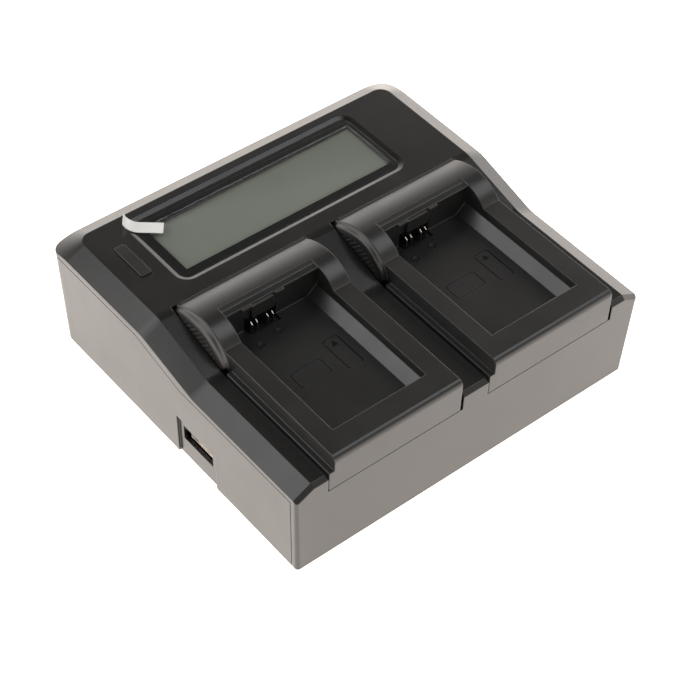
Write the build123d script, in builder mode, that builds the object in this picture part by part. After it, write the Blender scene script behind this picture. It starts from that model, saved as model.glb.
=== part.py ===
# Two-bay battery charger with lift-off battery plates, a display and a USB outlet.
# Millimetres. X runs along the front, Y runs to the back, Z is up from the table.
# The origin is on the table under the middle of the case.
from build123d import *

import os
from math import atan, cos, degrees, radians, sin, sqrt, tan

os.makedirs("parts", exist_ok=True)

# Case, outside
case_width = 137.4
case_depth = 125.0
wall_lean = 2.4
front_corner = 1.2
rear_corner = 4.2
least_corner = 0.6
foot_stand = 1.0
wall = 2.2
deck_skin = 2.2
floor_skin = 2.2

# Deck: its rear field, the ramp down to the front, and the sloping rim round it
rear_deck_height = 43.6
ramp_drop = 7.0
ramp_before_pocket_end = 27.4
ramp_top_before_pocket_end = 1.4
ramp_round = 12.0
rim_inset = 5.1
rim_rear_inset = 4.3
rim_slope = 0.52
front_bevel = 1.4

# The line where the top cover meets the base
parting_below_front_deck = 5.1
parting_below_rear_deck = 5.9
parting_ramp_lead = 6.5
parting_ramp_lag = 3.5
seam_top_inset = 2.6
seam_bottom_inset = 2.4
seam_gap = 0.3
lip_height = 1.4
lip_clearance = 0.15

# The two bays
side_land = 10.65
centre_post = 10.1
pocket_rear_inset = 47.1
pocket_depth = 6.6
pocket_wall = 1.8
plate_clearance = 0.3

# Battery plate, measured from the middle of its pocket
flange_width = 1.9
plate_right_margin = 1.2
plate_below_deck = 0.3
plate_skin = 1.8
ledge_above_front_deck = 1.2
ledge_before_pocket_end = 28.4
seat_left = -17.9
seat_right = 18.3
seat_from_front = 9.2
seat_depth = 6.6
seat_chamfer_width = 3.7
seat_chamfer_height = 3.3
hump_rise = 5.0
hump_foot_before_pocket_end = 24.7
hump_crest_before_pocket_end = 13.9
hump_face_before_pocket_end = 16.3
hood_lip = 0.4
hood_lip_height = 1.7
front_round = 2.2
seat_skin = 1.6
plate_cover_thickness = 1.6
plate_cover_clearance = 0.15
plate_board_thickness = 1.0
plate_board_width = 18.0
plate_board_before_pocket_end = 24.4
front_screw_from_front = 16.5
rear_screw_before_pocket_end = 35.4
plate_post_diameter = 5.0
plate_screw_diameter = 2.0
plate_screw_head = 3.6
plate_screw_head_height = 0.9
plate_screw_length = 4.2
thread_clearance = 0.05
ear_drop = 2.0
ear_round = 1.1
grip_margin = 1.3
grip_depth = 0.5
grip_lift = 0.9
step_drop = 0.25
step_backs = (1.1, -0.7)
hood_tabs = ((-12.0, -8.3), (0.9, 4.2))
hood_tab_reach = 1.0
hood_tab_height = 1.0
hood_panel_reach = 0.6
hood_panel_margin = 0.2

# Battery contacts
contact_middle = -4.2
contact_window_width = 12.4
contact_window_height = 4.9
contact_slot_width = 2.9
contact_slot_depth = 0.9
blade_spacings = (-4.2, -2.2, 2.0, 4.0)
blade_thickness = 0.3
blade_reach = 1.7
blade_height = 3.2
blade_rise = 0.6
blade_nose_length = 1.0
blade_rear_gap = 1.5
blade_tail = 2.5
holder_width = 14.4
holder_before_pocket_end = 6.4
holder_height = 5.7
holder_clearance = 0.1
holder_back = 1.0
blade_slot = 0.6
pad_thickness = 0.1

# Spring pins between the case and a plate
pin_row_before_pocket_end = 8.4
pin_pitch = 3.0
pin_count = 4
pin_diameter = 1.2
pin_carrier_width = 14.0
pin_carrier_depth = 4.0
pin_carrier_drop = 7.0
pin_carrier_flange = 2.0
pin_carrier_flange_thickness = 1.5
carrier_clearance = 0.1
pin_gap = 0.3
pad_gap = 1.0

# Cables inside
bay_cable_width = 11.0
bay_cable_run = 11.0
cable_thickness = 0.8
cable_bend = 3.0
connector_height = 4.0
connector_depth = 4.0
connector_length = 14.0
ribbon_low_inset = 10.5
ribbon_high_inset = 18.5
ribbon_from_board_rear = 28.0

# Display
recess_left_inset = 19.9
recess_right_inset = 24.5
recess_depth = 34.2
recess_rear_inset = 7.1
recess_corner = 5.0
recess_slope_width = 1.7
recess_slope_drop = 0.7
recess_land = 1.0
lens_thickness = 1.2
lens_clearance = 0.15
lens_corner = 3.3
lens_ledge = 0.8
lens_ledge_thickness = 0.8
view_left_border = 5.5
view_right_border = 3.3
view_front_border = 5.85
view_rear_border = 5.65
view_corner = 0.6
bezel_overlap_x = 0.6
bezel_overlap_y = 0.3
bezel_plate_thickness = 0.6
bezel_wall = 1.2
bezel_skirt = 4.0
glass_clearance = 0.1
glass_thickness = 2.2
backlight_thickness = 2.4
display_board_thickness = 1.6
film_thickness = 0.15
display_board_left_inset = 10.1
display_board_right_inset = 19.5
display_board_rear_inset = 5.5
display_board_depth = 36.0
display_screw_left_inset = 8.0
display_screw_inset = 3.0
display_post_diameter = 4.8
display_post_bore = 4.4
tab_from_view_left = 4.6
tab_from_view_rear = 3.85
tab_width = 4.8
tab_thickness = 0.2
tab_flat = 7.8
tab_curl_radius = 5.4
tab_curl_angle = 70.0
tab_heading = 141.0

# Mode button
button_width = 4.2
button_length = 15.7
button_corner = 0.9
button_round = 0.3
button_side_inset = 13.3
button_rear_inset = 23.3
button_clearance = 0.3
button_stand = 0.4
button_travel = 0.6
button_gap = 0.3
button_flange = 1.0
button_flange_thickness = 0.8
switch_size = 6.0
switch_height = 3.5
plunger_diameter = 3.2
plunger_clearance = 0.3
plunger_reach = 0.6

# USB outlet in the left wall
usb_from_front = 50.2
usb_hole_width = 15.1
usb_hole_height = 6.0
usb_hole_below_board = 0.4
usb_hole_corner = 0.4
usb_recess_width = 19.8
usb_recess_above_board = 8.9
usb_recess_inset = 0.8
usb_shell_width = 13.1
usb_shell_height = 5.7
usb_shell_length = 14.0
usb_shell_sheet = 0.35
usb_mouth_gap = 0.3
tongue_width = 11.2
tongue_thickness = 1.9
tongue_inset = 2.1
tongue_above_board = 2.6
tongue_block = 3.0
tongue_side_gap = 0.3
tongue_lid_gap = 0.1
usb_contact_spacings = (-3.5, -1.0, 1.0, 3.5)
usb_contact_width = 1.0
usb_contact_thickness = 0.3
usb_contact_start = 0.7
usb_contact_end = 0.1

# Mains inlet in the rear wall
inlet_width = 19.6
inlet_tall = 12.2
inlet_length = 16.0
inlet_corner = 0.8
inlet_from_board_right = 19.0
inlet_clearance = 0.2
inlet_socket_width = 16.2
inlet_socket_height = 8.8
inlet_socket_depth = 9.0
inlet_pin_pitch = 8.6
inlet_pin_diameter = 2.4
inlet_pin_sink = 1.0
inlet_pin_tail = 2.0
inlet_pin_tip = 0.5

# Main board and its supports
board_thickness = 1.6
board_height = 8.3
board_left_inset = 4.2
board_right_inset = 11.7
board_front_inset = 38.5
board_rear_inset = 4.5
board_notch = 6.8
standoff_diameter = 6.0
board_screw_inset = 5.0
board_screw_left_front_inset = 18.0
board_screw_rear_inset = 12.5
board_screw_diameter = 2.0
board_screw_head = 4.0
board_screw_head_height = 1.4
board_screw_length = 5.4

# Parts on the main board, placed from its edges
fuse_middle_x = 10.0
fuse_from_rear = 36.0
fuse_length = 20.0
fuse_diameter = 5.0
fuse_height = 3.6
fuse_clip_width = 4.0
fuse_clip_inset = 3.0
fuse_clip_wall = 0.8
transformer_from_rear = 16.0
core_width = 28.0
core_depth = 12.0
core_height = 21.0
core_leg = 8.0
core_window = 6.0
winding_depth = 24.0
winding_corner = 4.0
winding_clearance = 0.2
input_capacitor_from_right = 26.0
input_capacitor_from_rear = 26.0
input_capacitor_diameter = 16.0
input_capacitor_height = 20.0
output_capacitor_from_left = 25.5
output_capacitors_from_rear = (30.0, 16.0)
output_capacitor_diameter = 10.0
output_capacitor_height = 16.0
can_bevel = 0.6
choke_from_right = 8.5
choke_from_rear = 27.0
choke_diameter = 15.0
choke_bore = 6.0
choke_height = 8.0
choke_bevel = 1.2
heat_sink_x = -20.0
heat_sink_from_rear = 18.0
heat_sink_length = 26.0
heat_sink_height = 18.0
heat_sink_back = 2.0
heat_sink_fins = 6
fin_length = 5.0
fin_thickness = 1.2
transistor_width = 10.0
transistor_body = (4.0, 13.0)
transistor_tab_top = 17.0
transistor_thickness = 4.4
transistor_tab_thickness = 1.2
transistor_hole = 3.2
transistor_lead_pitch = 2.54
transistor_lead = (0.6, 0.8)
chip_height = 1.6
chip_places = (((-12.0, 16.0), (9.0, 9.0)), ((4.0, 10.0), (5.0, 6.0)), ((8.0, 23.0), (10.0, 6.0)))

# Case screws, feet and air slots
case_screw_front_inset_x = 16.7
case_screw_front_inset_y = 10.5
case_screw_rear_inset_x = 6.2
case_screw_rear_inset_y = 6.5
post_diameter = 7.0
column_diameter = 8.6
screw_diameter = 3.0
screw_length = 12.0
screw_clearance = 0.4
screw_head_diameter = 5.6
screw_head_height = 2.0
screw_head_recess = 3.4
post_split_above_board = 0.7
foot_diameter = 10.0
foot_inset_x = 14.7
foot_inset_y = 22.5
foot_recess = 0.8
foot_clearance = 0.1
foot_bevel = 0.4
slot_columns = (-24.0, 24.0)
slot_from_rear = 40.5
slot_count = 6
slot_pitch = 6.0
slot_width = 2.2
slot_length = 26.0

# Heights worked out from the ones above
lean = tan(radians(wall_lean))
deck_rear = foot_stand + rear_deck_height
deck_front = deck_rear - ramp_drop
parting_front = deck_front - parting_below_front_deck
parting_rear = deck_rear - parting_below_rear_deck
pocket_floor = deck_front - pocket_depth
well_bottom = pocket_floor - deck_skin
plate_bottom = pocket_floor + plate_clearance
plate_top = deck_rear - plate_below_deck
ledge_height = deck_front + ledge_above_front_deck
seat_floor = plate_top - seat_depth
hump_crest = plate_top + hump_rise
form_top = hump_crest + wall
rim_run = rim_inset + lean * rear_deck_height
crown_depth = 2 * rim_slope * rim_run
cover_top = plate_bottom + plate_cover_thickness
contact_window_top = seat_floor + contact_window_height
holder_top = seat_floor + holder_height
blade_foot = cover_top + plate_board_thickness
blade_top = seat_floor + blade_height
lip_bottom = hump_crest - hood_lip_height
lens_top = deck_rear - recess_slope_drop
lens_bottom = lens_top - lens_thickness
bezel_plate_top = lens_bottom - lens_ledge_thickness
glass_top = bezel_plate_top - bezel_plate_thickness
glass_bottom = glass_top - glass_thickness
backlight_bottom = glass_bottom - backlight_thickness
display_board_top = backlight_bottom
display_board_bottom = display_board_top - display_board_thickness
flange_top = deck_rear - deck_skin - button_gap
board_top = foot_stand + board_height
board_bottom = board_top - board_thickness
post_split = board_top + post_split_above_board
usb_hole_bottom = board_top - usb_hole_below_board
usb_recess_top = board_top + usb_recess_above_board
tongue_bottom = board_top + tongue_above_board
inlet_height = board_top + inlet_tall / 2
cable_middle = (board_top + connector_height + pocket_floor - pin_carrier_drop) / 2
ribbon_middle = (board_top + display_board_bottom) / 2

# Places across the case
rim_inner = case_width / 2 - rim_inset
pocket_width = (case_width - centre_post) / 2 - side_land
bay_pitch = pocket_width + centre_post
bays = {"left": -bay_pitch / 2, "right": bay_pitch / 2}
plate_ledge = -pocket_width / 2 + plate_clearance
plate_left = plate_ledge + flange_width
plate_right = pocket_width / 2 - plate_right_margin
plate_middle = (plate_left + plate_right) / 2
seat_middle = (seat_left + seat_right) / 2
recess_width = case_width - recess_left_inset - recess_right_inset
view_width = recess_width - view_left_border - view_right_border
view_depth = recess_depth - view_front_border - view_rear_border
lens_width = recess_width - 2 * recess_slope_width - 2 * lens_clearance
lens_depth = recess_depth - 2 * recess_slope_width - 2 * lens_clearance
bezel_width = lens_width + 2 * bezel_overlap_x
bezel_depth = lens_depth + 2 * bezel_overlap_y
glass_width = bezel_width - 2 * bezel_wall - 2 * glass_clearance
glass_depth = bezel_depth - 2 * bezel_wall - 2 * glass_clearance
display_board_left = -case_width / 2 + display_board_left_inset
display_board_right = case_width / 2 - display_board_right_inset
board_left = -case_width / 2 + board_left_inset
board_right = case_width / 2 - board_right_inset
ribbon_low_x = board_left + ribbon_low_inset
ribbon_high_x = board_left + ribbon_high_inset
inlet_middle_x = board_right - inlet_from_board_right
usb_wall_inside = -case_width / 2 - lean * (usb_hole_bottom - foot_stand) + wall
usb_mouth = usb_wall_inside + usb_mouth_gap
tongue_end = usb_mouth + usb_shell_length - usb_shell_sheet

# Places along the case
plate_front = -case_depth / 2
pocket_front = plate_front + wall
pocket_rear = case_depth / 2 - pocket_rear_inset
rim_rear = case_depth / 2 - rim_rear_inset
ramp_front = pocket_rear - ramp_before_pocket_end
ramp_rear = pocket_rear - ramp_top_before_pocket_end
parting_ramp_front = ramp_front + parting_ramp_lead
parting_ramp_rear = ramp_rear + parting_ramp_lag
seam_top = plate_front + seam_top_inset
seam_bottom = plate_front + seam_bottom_inset
plate_rear = pocket_rear - plate_clearance
ledge_rear = pocket_rear - ledge_before_pocket_end
seat_front = plate_front + seat_from_front
hump_foot = pocket_rear - hump_foot_before_pocket_end
hump_crest_y = pocket_rear - hump_crest_before_pocket_end
hump_face = pocket_rear - hump_face_before_pocket_end
lip_edge = hump_face - hood_lip
step_places = [hump_crest_y + back for back in step_backs]
contact_slot_front = hump_face - contact_slot_width
blade_nose = hump_face - blade_reach
holder_rear = pocket_rear - holder_before_pocket_end
blade_rear = holder_rear - blade_rear_gap
holder_front = hump_face + plate_skin + 2 * holder_clearance
plate_board_front = pocket_rear - plate_board_before_pocket_end
plate_board_rear = plate_rear - 2 * plate_skin
plate_screws_y = (plate_front + front_screw_from_front, pocket_rear - rear_screw_before_pocket_end)
pin_row_y = pocket_rear - pin_row_before_pocket_end
bay_connector_y = pin_row_y - bay_cable_run
recess_rear = case_depth / 2 - recess_rear_inset
recess_middle = ((recess_left_inset - recess_right_inset) / 2, recess_rear - recess_depth / 2)
view_middle = (
    recess_middle[0] + (view_left_border - view_right_border) / 2,
    recess_middle[1] + (view_front_border - view_rear_border) / 2,
)
tab_end = (
    view_middle[0] - view_width / 2 + tab_from_view_left,
    view_middle[1] + view_depth / 2 - tab_from_view_rear,
)
button_middle = (-case_width / 2 + button_side_inset, case_depth / 2 - button_rear_inset)
display_board_rear = case_depth / 2 - display_board_rear_inset
display_board_front = display_board_rear - display_board_depth
display_board_middle = (
    (display_board_left + display_board_right) / 2,
    (display_board_front + display_board_rear) / 2,
)
board_front = plate_front + board_front_inset
board_rear = case_depth / 2 - board_rear_inset
usb_middle_y = plate_front + usb_from_front
inlet_face = case_depth / 2 + lean * (inlet_height - foot_stand)
ribbon_y = board_rear - ribbon_from_board_rear

# Curves of the hump: one arc up from the front, one down to the deck behind
front_arc = ((hump_crest_y - hump_foot) ** 2 + hump_rise**2) / (2 * hump_rise)
rear_drop = hump_crest - deck_rear
rear_arc = ((plate_rear - hump_crest_y) ** 2 + rear_drop**2) / (2 * rear_drop)

# Places of screws, feet and parts of the boards
display_screw_places = [
    (x, y)
    for x in (display_board_left + display_screw_left_inset, display_board_right - display_screw_inset)
    for y in (display_board_front + display_screw_inset, display_board_rear - display_screw_inset)
]
case_screw_places = [
    (side * (case_width / 2 - inset_x), end * (case_depth / 2 - inset_y))
    for end, inset_x, inset_y in (
        (-1, case_screw_front_inset_x, case_screw_front_inset_y),
        (1, case_screw_rear_inset_x, case_screw_rear_inset_y),
    )
    for side in (-1, 1)
]
board_screw_places = [
    (board_left + board_screw_left_front_inset, board_front + board_screw_inset),
    (board_right - board_screw_inset, board_front + board_screw_inset),
    (board_left + board_screw_inset, board_rear - board_screw_rear_inset),
    (board_right - board_screw_inset, board_rear - board_screw_rear_inset),
]
foot_places = [
    (side * (case_width / 2 - foot_inset_x), end * (case_depth / 2 - foot_inset_y))
    for side in (-1, 1)
    for end in (-1, 1)
]
fuse_middle_y = board_rear - fuse_from_rear
transformer_y = board_rear - transformer_from_rear
input_capacitor_place = (board_right - input_capacitor_from_right, board_rear - input_capacitor_from_rear)
output_capacitor_places = [
    (board_left + output_capacitor_from_left, board_rear - back) for back in output_capacitors_from_rear
]
choke_place = (board_right - choke_from_right, board_rear - choke_from_rear)
heat_sink_y = board_rear - heat_sink_from_rear
air_slot_y = case_depth / 2 - slot_from_rear


def height_on_front_arc(y, shrink):
    """Height of the hump's front curve, drawn in by shrink, at a place y."""
    radius = front_arc - shrink
    return hump_crest - front_arc + sqrt(radius**2 - (hump_crest_y - y) ** 2)


def height_on_rear_arc(y, shrink):
    """Height of the hump's rear curve, drawn in by shrink, at a place y."""
    radius = rear_arc - shrink
    return hump_crest - rear_arc + sqrt(radius**2 - (y - hump_crest_y) ** 2)


def deck_crown(top):
    """The sloping rim's envelope: a raised field with a slope round its sides and back."""
    with BuildPart() as crown:
        for below, grow in ((0.0, 0.0), (crown_depth, crown_depth / rim_slope)):
            with BuildSketch(Plane.XY.offset(top - below)) as outline:
                with BuildLine():
                    Polyline(
                        (-rim_inner - grow, -case_depth),
                        (rim_inner + grow, -case_depth),
                        (rim_inner + grow, rim_rear + grow),
                        (-rim_inner - grow, rim_rear + grow),
                        close=True,
                    )
                make_face()
                fillet(outline.vertices().group_by(Axis.Y)[-1], rear_corner + grow)
        loft(ruled=True)
        with BuildSketch(Plane.XY.offset(top - crown_depth)):
            Rectangle(4 * rim_inner, 3 * case_depth)
        extrude(amount=-form_top)
    return crown.part


def case_form(inset, drop, start):
    """The case's closed outer form, drawn in by inset, its deck lowered by drop, from height start."""
    top = deck_rear - drop
    crown = deck_crown(top)
    with BuildPart() as form:
        for level in (start, form_top):
            rise = level - foot_stand
            depth = case_depth + lean * rise - 2 * inset
            with BuildSketch(Plane.XY.offset(level)) as outline:
                with Locations((0, lean * rise / 2)):
                    Rectangle(case_width + 2 * lean * rise - 2 * inset, depth)
                fillet(outline.vertices().group_by(Axis.Y)[0], max(front_corner - inset, least_corner))
                fillet(outline.vertices().group_by(Axis.Y)[-1], max(rear_corner - inset, least_corner))
        loft()
        add(crown, mode=Mode.INTERSECT)
        # The bevelled front edge, the lower front deck and the ramp, with the rim following them down
        for side in (-1, 0, 1):
            start_x = side * rim_inner if side else -rim_inner
            with BuildSketch(Plane.YZ.offset(start_x)) as above:
                with BuildLine():
                    Polyline(
                        (plate_front - front_bevel, deck_front - drop - 2 * front_bevel),
                        (plate_front + front_bevel, deck_front - drop),
                        (ramp_front, deck_front - drop),
                        (ramp_rear, top),
                        (ramp_rear + ramp_round / 2, top),
                        (ramp_rear + ramp_round / 2, 2 * form_top),
                        (plate_front - front_bevel, 2 * form_top),
                        close=True,
                    )
                make_face()
                corners = above.vertices().filter_by_position(Axis.X, ramp_front - 1, ramp_rear + 1)
                fillet(corners, ramp_round)
            if side:
                extrude(amount=3 * rim_run, dir=(side, 0, -rim_slope), mode=Mode.SUBTRACT)
            else:
                extrude(amount=2 * rim_inner, mode=Mode.SUBTRACT)
    return form.part


def below_parting(gap):
    """All that lies under the parting line and behind the front seam, held back by gap."""
    with BuildPart() as region:
        with BuildSketch(Plane.YZ):
            with BuildLine():
                Polyline(
                    (seam_bottom + gap, -wall),
                    (seam_bottom + gap, foot_stand),
                    (seam_top + gap, parting_front - gap),
                    (parting_ramp_front, parting_front - gap),
                    (parting_ramp_rear, parting_rear - gap),
                    (case_depth, parting_rear - gap),
                    (case_depth, -wall),
                    close=True,
                )
            make_face()
        extrude(amount=case_width, both=True)
    return region.part


outer_form = case_form(0, 0, foot_stand)
cavity_form = case_form(wall, deck_skin, 0)
base_limit = below_parting(seam_gap)
cover_limit = below_parting(0)

# The pockets are open at the front, so no lip or groove runs behind the upper part of the apron
with BuildPart() as apron_top:
    with BuildSketch(Plane.XY.offset(well_bottom - wall)):
        with Locations((0, plate_front)):
            Rectangle(2 * rim_inner, 2 * (seam_top_inset + lip_height))
    extrude(amount=form_top)

# The lip that stands up from the base's wall, and the groove for it in the cover
with BuildPart() as lip:
    add(case_form(wall / 2 + lip_clearance, deck_skin, foot_stand))
    add(below_parting(-lip_height), mode=Mode.INTERSECT)
    add(apron_top.part, mode=Mode.SUBTRACT)
with BuildPart() as groove:
    add(case_form(wall / 2, deck_skin, foot_stand))
    add(below_parting(-lip_height - lip_clearance), mode=Mode.INTERSECT)
    add(cavity_form, mode=Mode.SUBTRACT)
    add(apron_top.part, mode=Mode.SUBTRACT)

# The room inside the base, down to its floor
with BuildPart() as base_room:
    add(cavity_form)
    with BuildSketch(Plane.XY.offset(foot_stand + floor_skin)):
        Rectangle(2 * case_width, 2 * case_depth)
    extrude(amount=-form_top, mode=Mode.SUBTRACT)

# Base shell: floor, side and rear walls, screw columns, board supports, vents and openings
with BuildPart() as base_shell:
    add(outer_form)
    add(base_limit, mode=Mode.INTERSECT)
    add(lip.part)
    add(base_room.part, mode=Mode.SUBTRACT)
    with BuildSketch(Plane.XY.offset(foot_stand + floor_skin)):
        with Locations(*case_screw_places):
            Circle(column_diameter / 2)
    extrude(amount=post_split - foot_stand - floor_skin)
    with BuildSketch(Plane.XY.offset(foot_stand + floor_skin)):
        with Locations(*board_screw_places):
            Circle(standoff_diameter / 2)
    extrude(amount=board_bottom - foot_stand - floor_skin)
    with BuildSketch(Plane.XY.offset(foot_stand)):
        with Locations(*case_screw_places):
            Circle(screw_diameter / 2 + screw_clearance / 2)
    extrude(amount=post_split, mode=Mode.SUBTRACT)
    with BuildSketch(Plane.XY.offset(foot_stand)):
        with Locations(*case_screw_places):
            Circle(screw_head_diameter / 2 + screw_clearance / 2)
    extrude(amount=screw_head_recess, mode=Mode.SUBTRACT)
    with BuildSketch(Plane.XY.offset(foot_stand + floor_skin)):
        with Locations(*board_screw_places):
            Circle(board_screw_diameter / 2)
    extrude(amount=board_bottom, mode=Mode.SUBTRACT)
    with BuildSketch(Plane.XY.offset(foot_stand)):
        with Locations(*foot_places):
            Circle(foot_diameter / 2 + foot_clearance)
    extrude(amount=foot_recess, mode=Mode.SUBTRACT)
    # Air slots under the power parts
    with BuildSketch(Plane.XY.offset(foot_stand)):
        with Locations(*[(x, air_slot_y) for x in slot_columns]):
            with GridLocations(slot_pitch, 0, slot_count, 1):
                Rectangle(slot_width, slot_length)
    extrude(amount=floor_skin, mode=Mode.SUBTRACT)
    # Finger recess of the USB outlet, as deep at its top as at the bottom, and the outlet's hole
    with BuildSketch(Plane.XZ.offset(-usb_middle_y - usb_recess_width / 2)):
        with BuildLine():
            Polyline(
                (-case_width / 2 + usb_recess_inset + lean * foot_stand, 0),
                (-case_width / 2 + usb_recess_inset - lean * (usb_recess_top - foot_stand), usb_recess_top),
                (-case_width, usb_recess_top),
                (-case_width, 0),
                close=True,
            )
        make_face()
    extrude(amount=usb_recess_width, mode=Mode.SUBTRACT)
    with BuildSketch(Plane.YZ.offset(usb_wall_inside)):
        with Locations((usb_middle_y, usb_hole_bottom + usb_hole_height / 2)):
            RectangleRounded(usb_hole_width, usb_hole_height, usb_hole_corner)
    extrude(amount=-2 * wall, mode=Mode.SUBTRACT)
    # Opening of the mains inlet
    with BuildSketch(Plane.XZ.offset(-inlet_face + 2 * wall)):
        with Locations((inlet_middle_x, inlet_height)):
            Rectangle(inlet_width + 2 * inlet_clearance, inlet_tall + 2 * inlet_clearance)
    extrude(amount=-4 * wall, mode=Mode.SUBTRACT)
base_shell.part.label = "base_shell"
export_step(base_shell.part, "parts/base_shell.step")

# Wells of the two pockets, columns for the case screws, and the posts and ledge of the display
with BuildPart() as cover_inside:
    with BuildSketch(Plane.XY.offset(well_bottom)):
        for middle in bays.values():
            with Locations((middle, (pocket_front + pocket_rear + pocket_wall) / 2)):
                Rectangle(pocket_width + 2 * pocket_wall, pocket_rear + pocket_wall - pocket_front)
    extrude(amount=deck_rear - well_bottom)
    with BuildSketch(Plane.XY.offset(post_split)):
        with Locations(*case_screw_places):
            Circle(post_diameter / 2)
    extrude(amount=deck_rear - post_split)
    with BuildSketch(Plane.XY.offset(display_board_top)):
        with Locations(*display_screw_places):
            Circle(display_post_diameter / 2)
    extrude(amount=deck_rear - display_board_top)
    with BuildSketch(Plane.XY.offset(bezel_plate_top)):
        with Locations(recess_middle):
            Rectangle(recess_width + 2 * recess_land, recess_depth + recess_land)
    extrude(amount=deck_rear - bezel_plate_top)
    add(outer_form, mode=Mode.INTERSECT)

# Top cover: deck, sloping rim, ramp and front apron in one moulding, with two open pockets
with BuildPart() as top_cover:
    add(outer_form)
    add(cavity_form, mode=Mode.SUBTRACT)
    add(cover_limit, mode=Mode.SUBTRACT)
    add(groove.part, mode=Mode.SUBTRACT)
    add(cover_inside.part)
    for middle in bays.values():
        with BuildSketch(Plane.XY.offset(pocket_floor)):
            with Locations((middle, (pocket_rear - case_depth) / 2)):
                Rectangle(pocket_width, pocket_rear + case_depth)
        extrude(amount=form_top, mode=Mode.SUBTRACT)
        with BuildSketch(Plane.XY.offset(well_bottom)):
            with Locations((middle + contact_middle, pin_row_y)):
                Rectangle(
                    pin_carrier_width + 2 * carrier_clearance,
                    pin_carrier_depth + 2 * carrier_clearance,
                )
        extrude(amount=deck_rear, mode=Mode.SUBTRACT)
    with BuildSketch(Plane.XY.offset(post_split)):
        with Locations(*case_screw_places):
            Circle(screw_diameter / 2)
    extrude(amount=screw_length - screw_head_recess, mode=Mode.SUBTRACT)
    with BuildSketch(Plane.XY.offset(display_board_top)):
        with Locations(*display_screw_places):
            Circle(board_screw_diameter / 2)
    extrude(amount=display_post_bore, mode=Mode.SUBTRACT)
    # Sloping border of the display recess, seat of the window and hole of the mode button
    for below, border in ((0.0, 0.0), (recess_slope_drop, recess_slope_width)):
        with BuildSketch(Plane.XY.offset(deck_rear - below)):
            with Locations(recess_middle):
                RectangleRounded(
                    recess_width - 2 * border,
                    recess_depth - 2 * border,
                    recess_corner - border,
                )
    loft(mode=Mode.SUBTRACT)
    with BuildSketch(Plane.XY.offset(lens_bottom)):
        with Locations(recess_middle):
            RectangleRounded(
                lens_width + 2 * lens_clearance,
                lens_depth + 2 * lens_clearance,
                lens_corner,
            )
    extrude(amount=lens_thickness, mode=Mode.SUBTRACT)
    with BuildSketch(Plane.XY.offset(lens_bottom)):
        with Locations(recess_middle):
            RectangleRounded(
                lens_width - 2 * lens_ledge,
                lens_depth - 2 * lens_ledge,
                lens_corner - lens_ledge,
            )
    extrude(amount=-2 * deck_skin, mode=Mode.SUBTRACT)
    with BuildSketch(Plane.XY.offset(deck_rear)):
        with Locations(button_middle):
            RectangleRounded(
                button_width + 2 * button_clearance,
                button_length + 2 * button_clearance,
                button_corner + button_clearance,
            )
    extrude(amount=-2 * deck_skin, mode=Mode.SUBTRACT)
top_cover.part.label = "top_cover"
export_step(top_cover.part, "parts/top_cover.step")


def plate_profile(x, front, rear, top, shrink):
    """Side view of a battery plate at x: a flat front at height top, then the hump, drawn in by shrink."""
    foot = hump_crest_y - sqrt((front_arc - shrink) ** 2 - (top - hump_crest + front_arc) ** 2)
    before = (foot + hump_crest_y) / 2
    after = (hump_crest_y + rear) / 2
    rear_end = (rear, height_on_rear_arc(rear, shrink))
    crest = (hump_crest_y, hump_crest - shrink)
    base_line = [(foot, top), (front, top), (front, plate_bottom), (rear, plate_bottom), rear_end]
    if front >= foot:
        base_line = [(foot, top), (foot, plate_bottom), (rear, plate_bottom), rear_end]
    with BuildSketch(Plane.YZ.offset(x)) as profile:
        with BuildLine():
            Polyline(*base_line)
            ThreePointArc((foot, top), (before, height_on_front_arc(before, shrink)), crest)
            ThreePointArc(crest, (after, height_on_rear_arc(after, shrink)), rear_end)
        make_face()
    return profile.sketch


def hood_cut(middle, number):
    """What a shallow step takes off the front of the hood."""
    place = step_places[number]
    low = (plate_top + seat_floor) / 2
    kept = plate_profile(middle + seat_left, plate_front, plate_rear, low, (number + 1) * step_drop)
    with BuildPart() as cut:
        with BuildSketch(Plane.XY.offset((plate_top + hump_crest) / 2)):
            with Locations((middle + seat_middle, (place + hump_foot) / 2)):
                Rectangle(seat_right - seat_left, place - hump_foot)
        extrude(amount=hump_rise)
        extrude(kept, amount=seat_right - seat_left, mode=Mode.SUBTRACT)
    return cut.part


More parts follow.
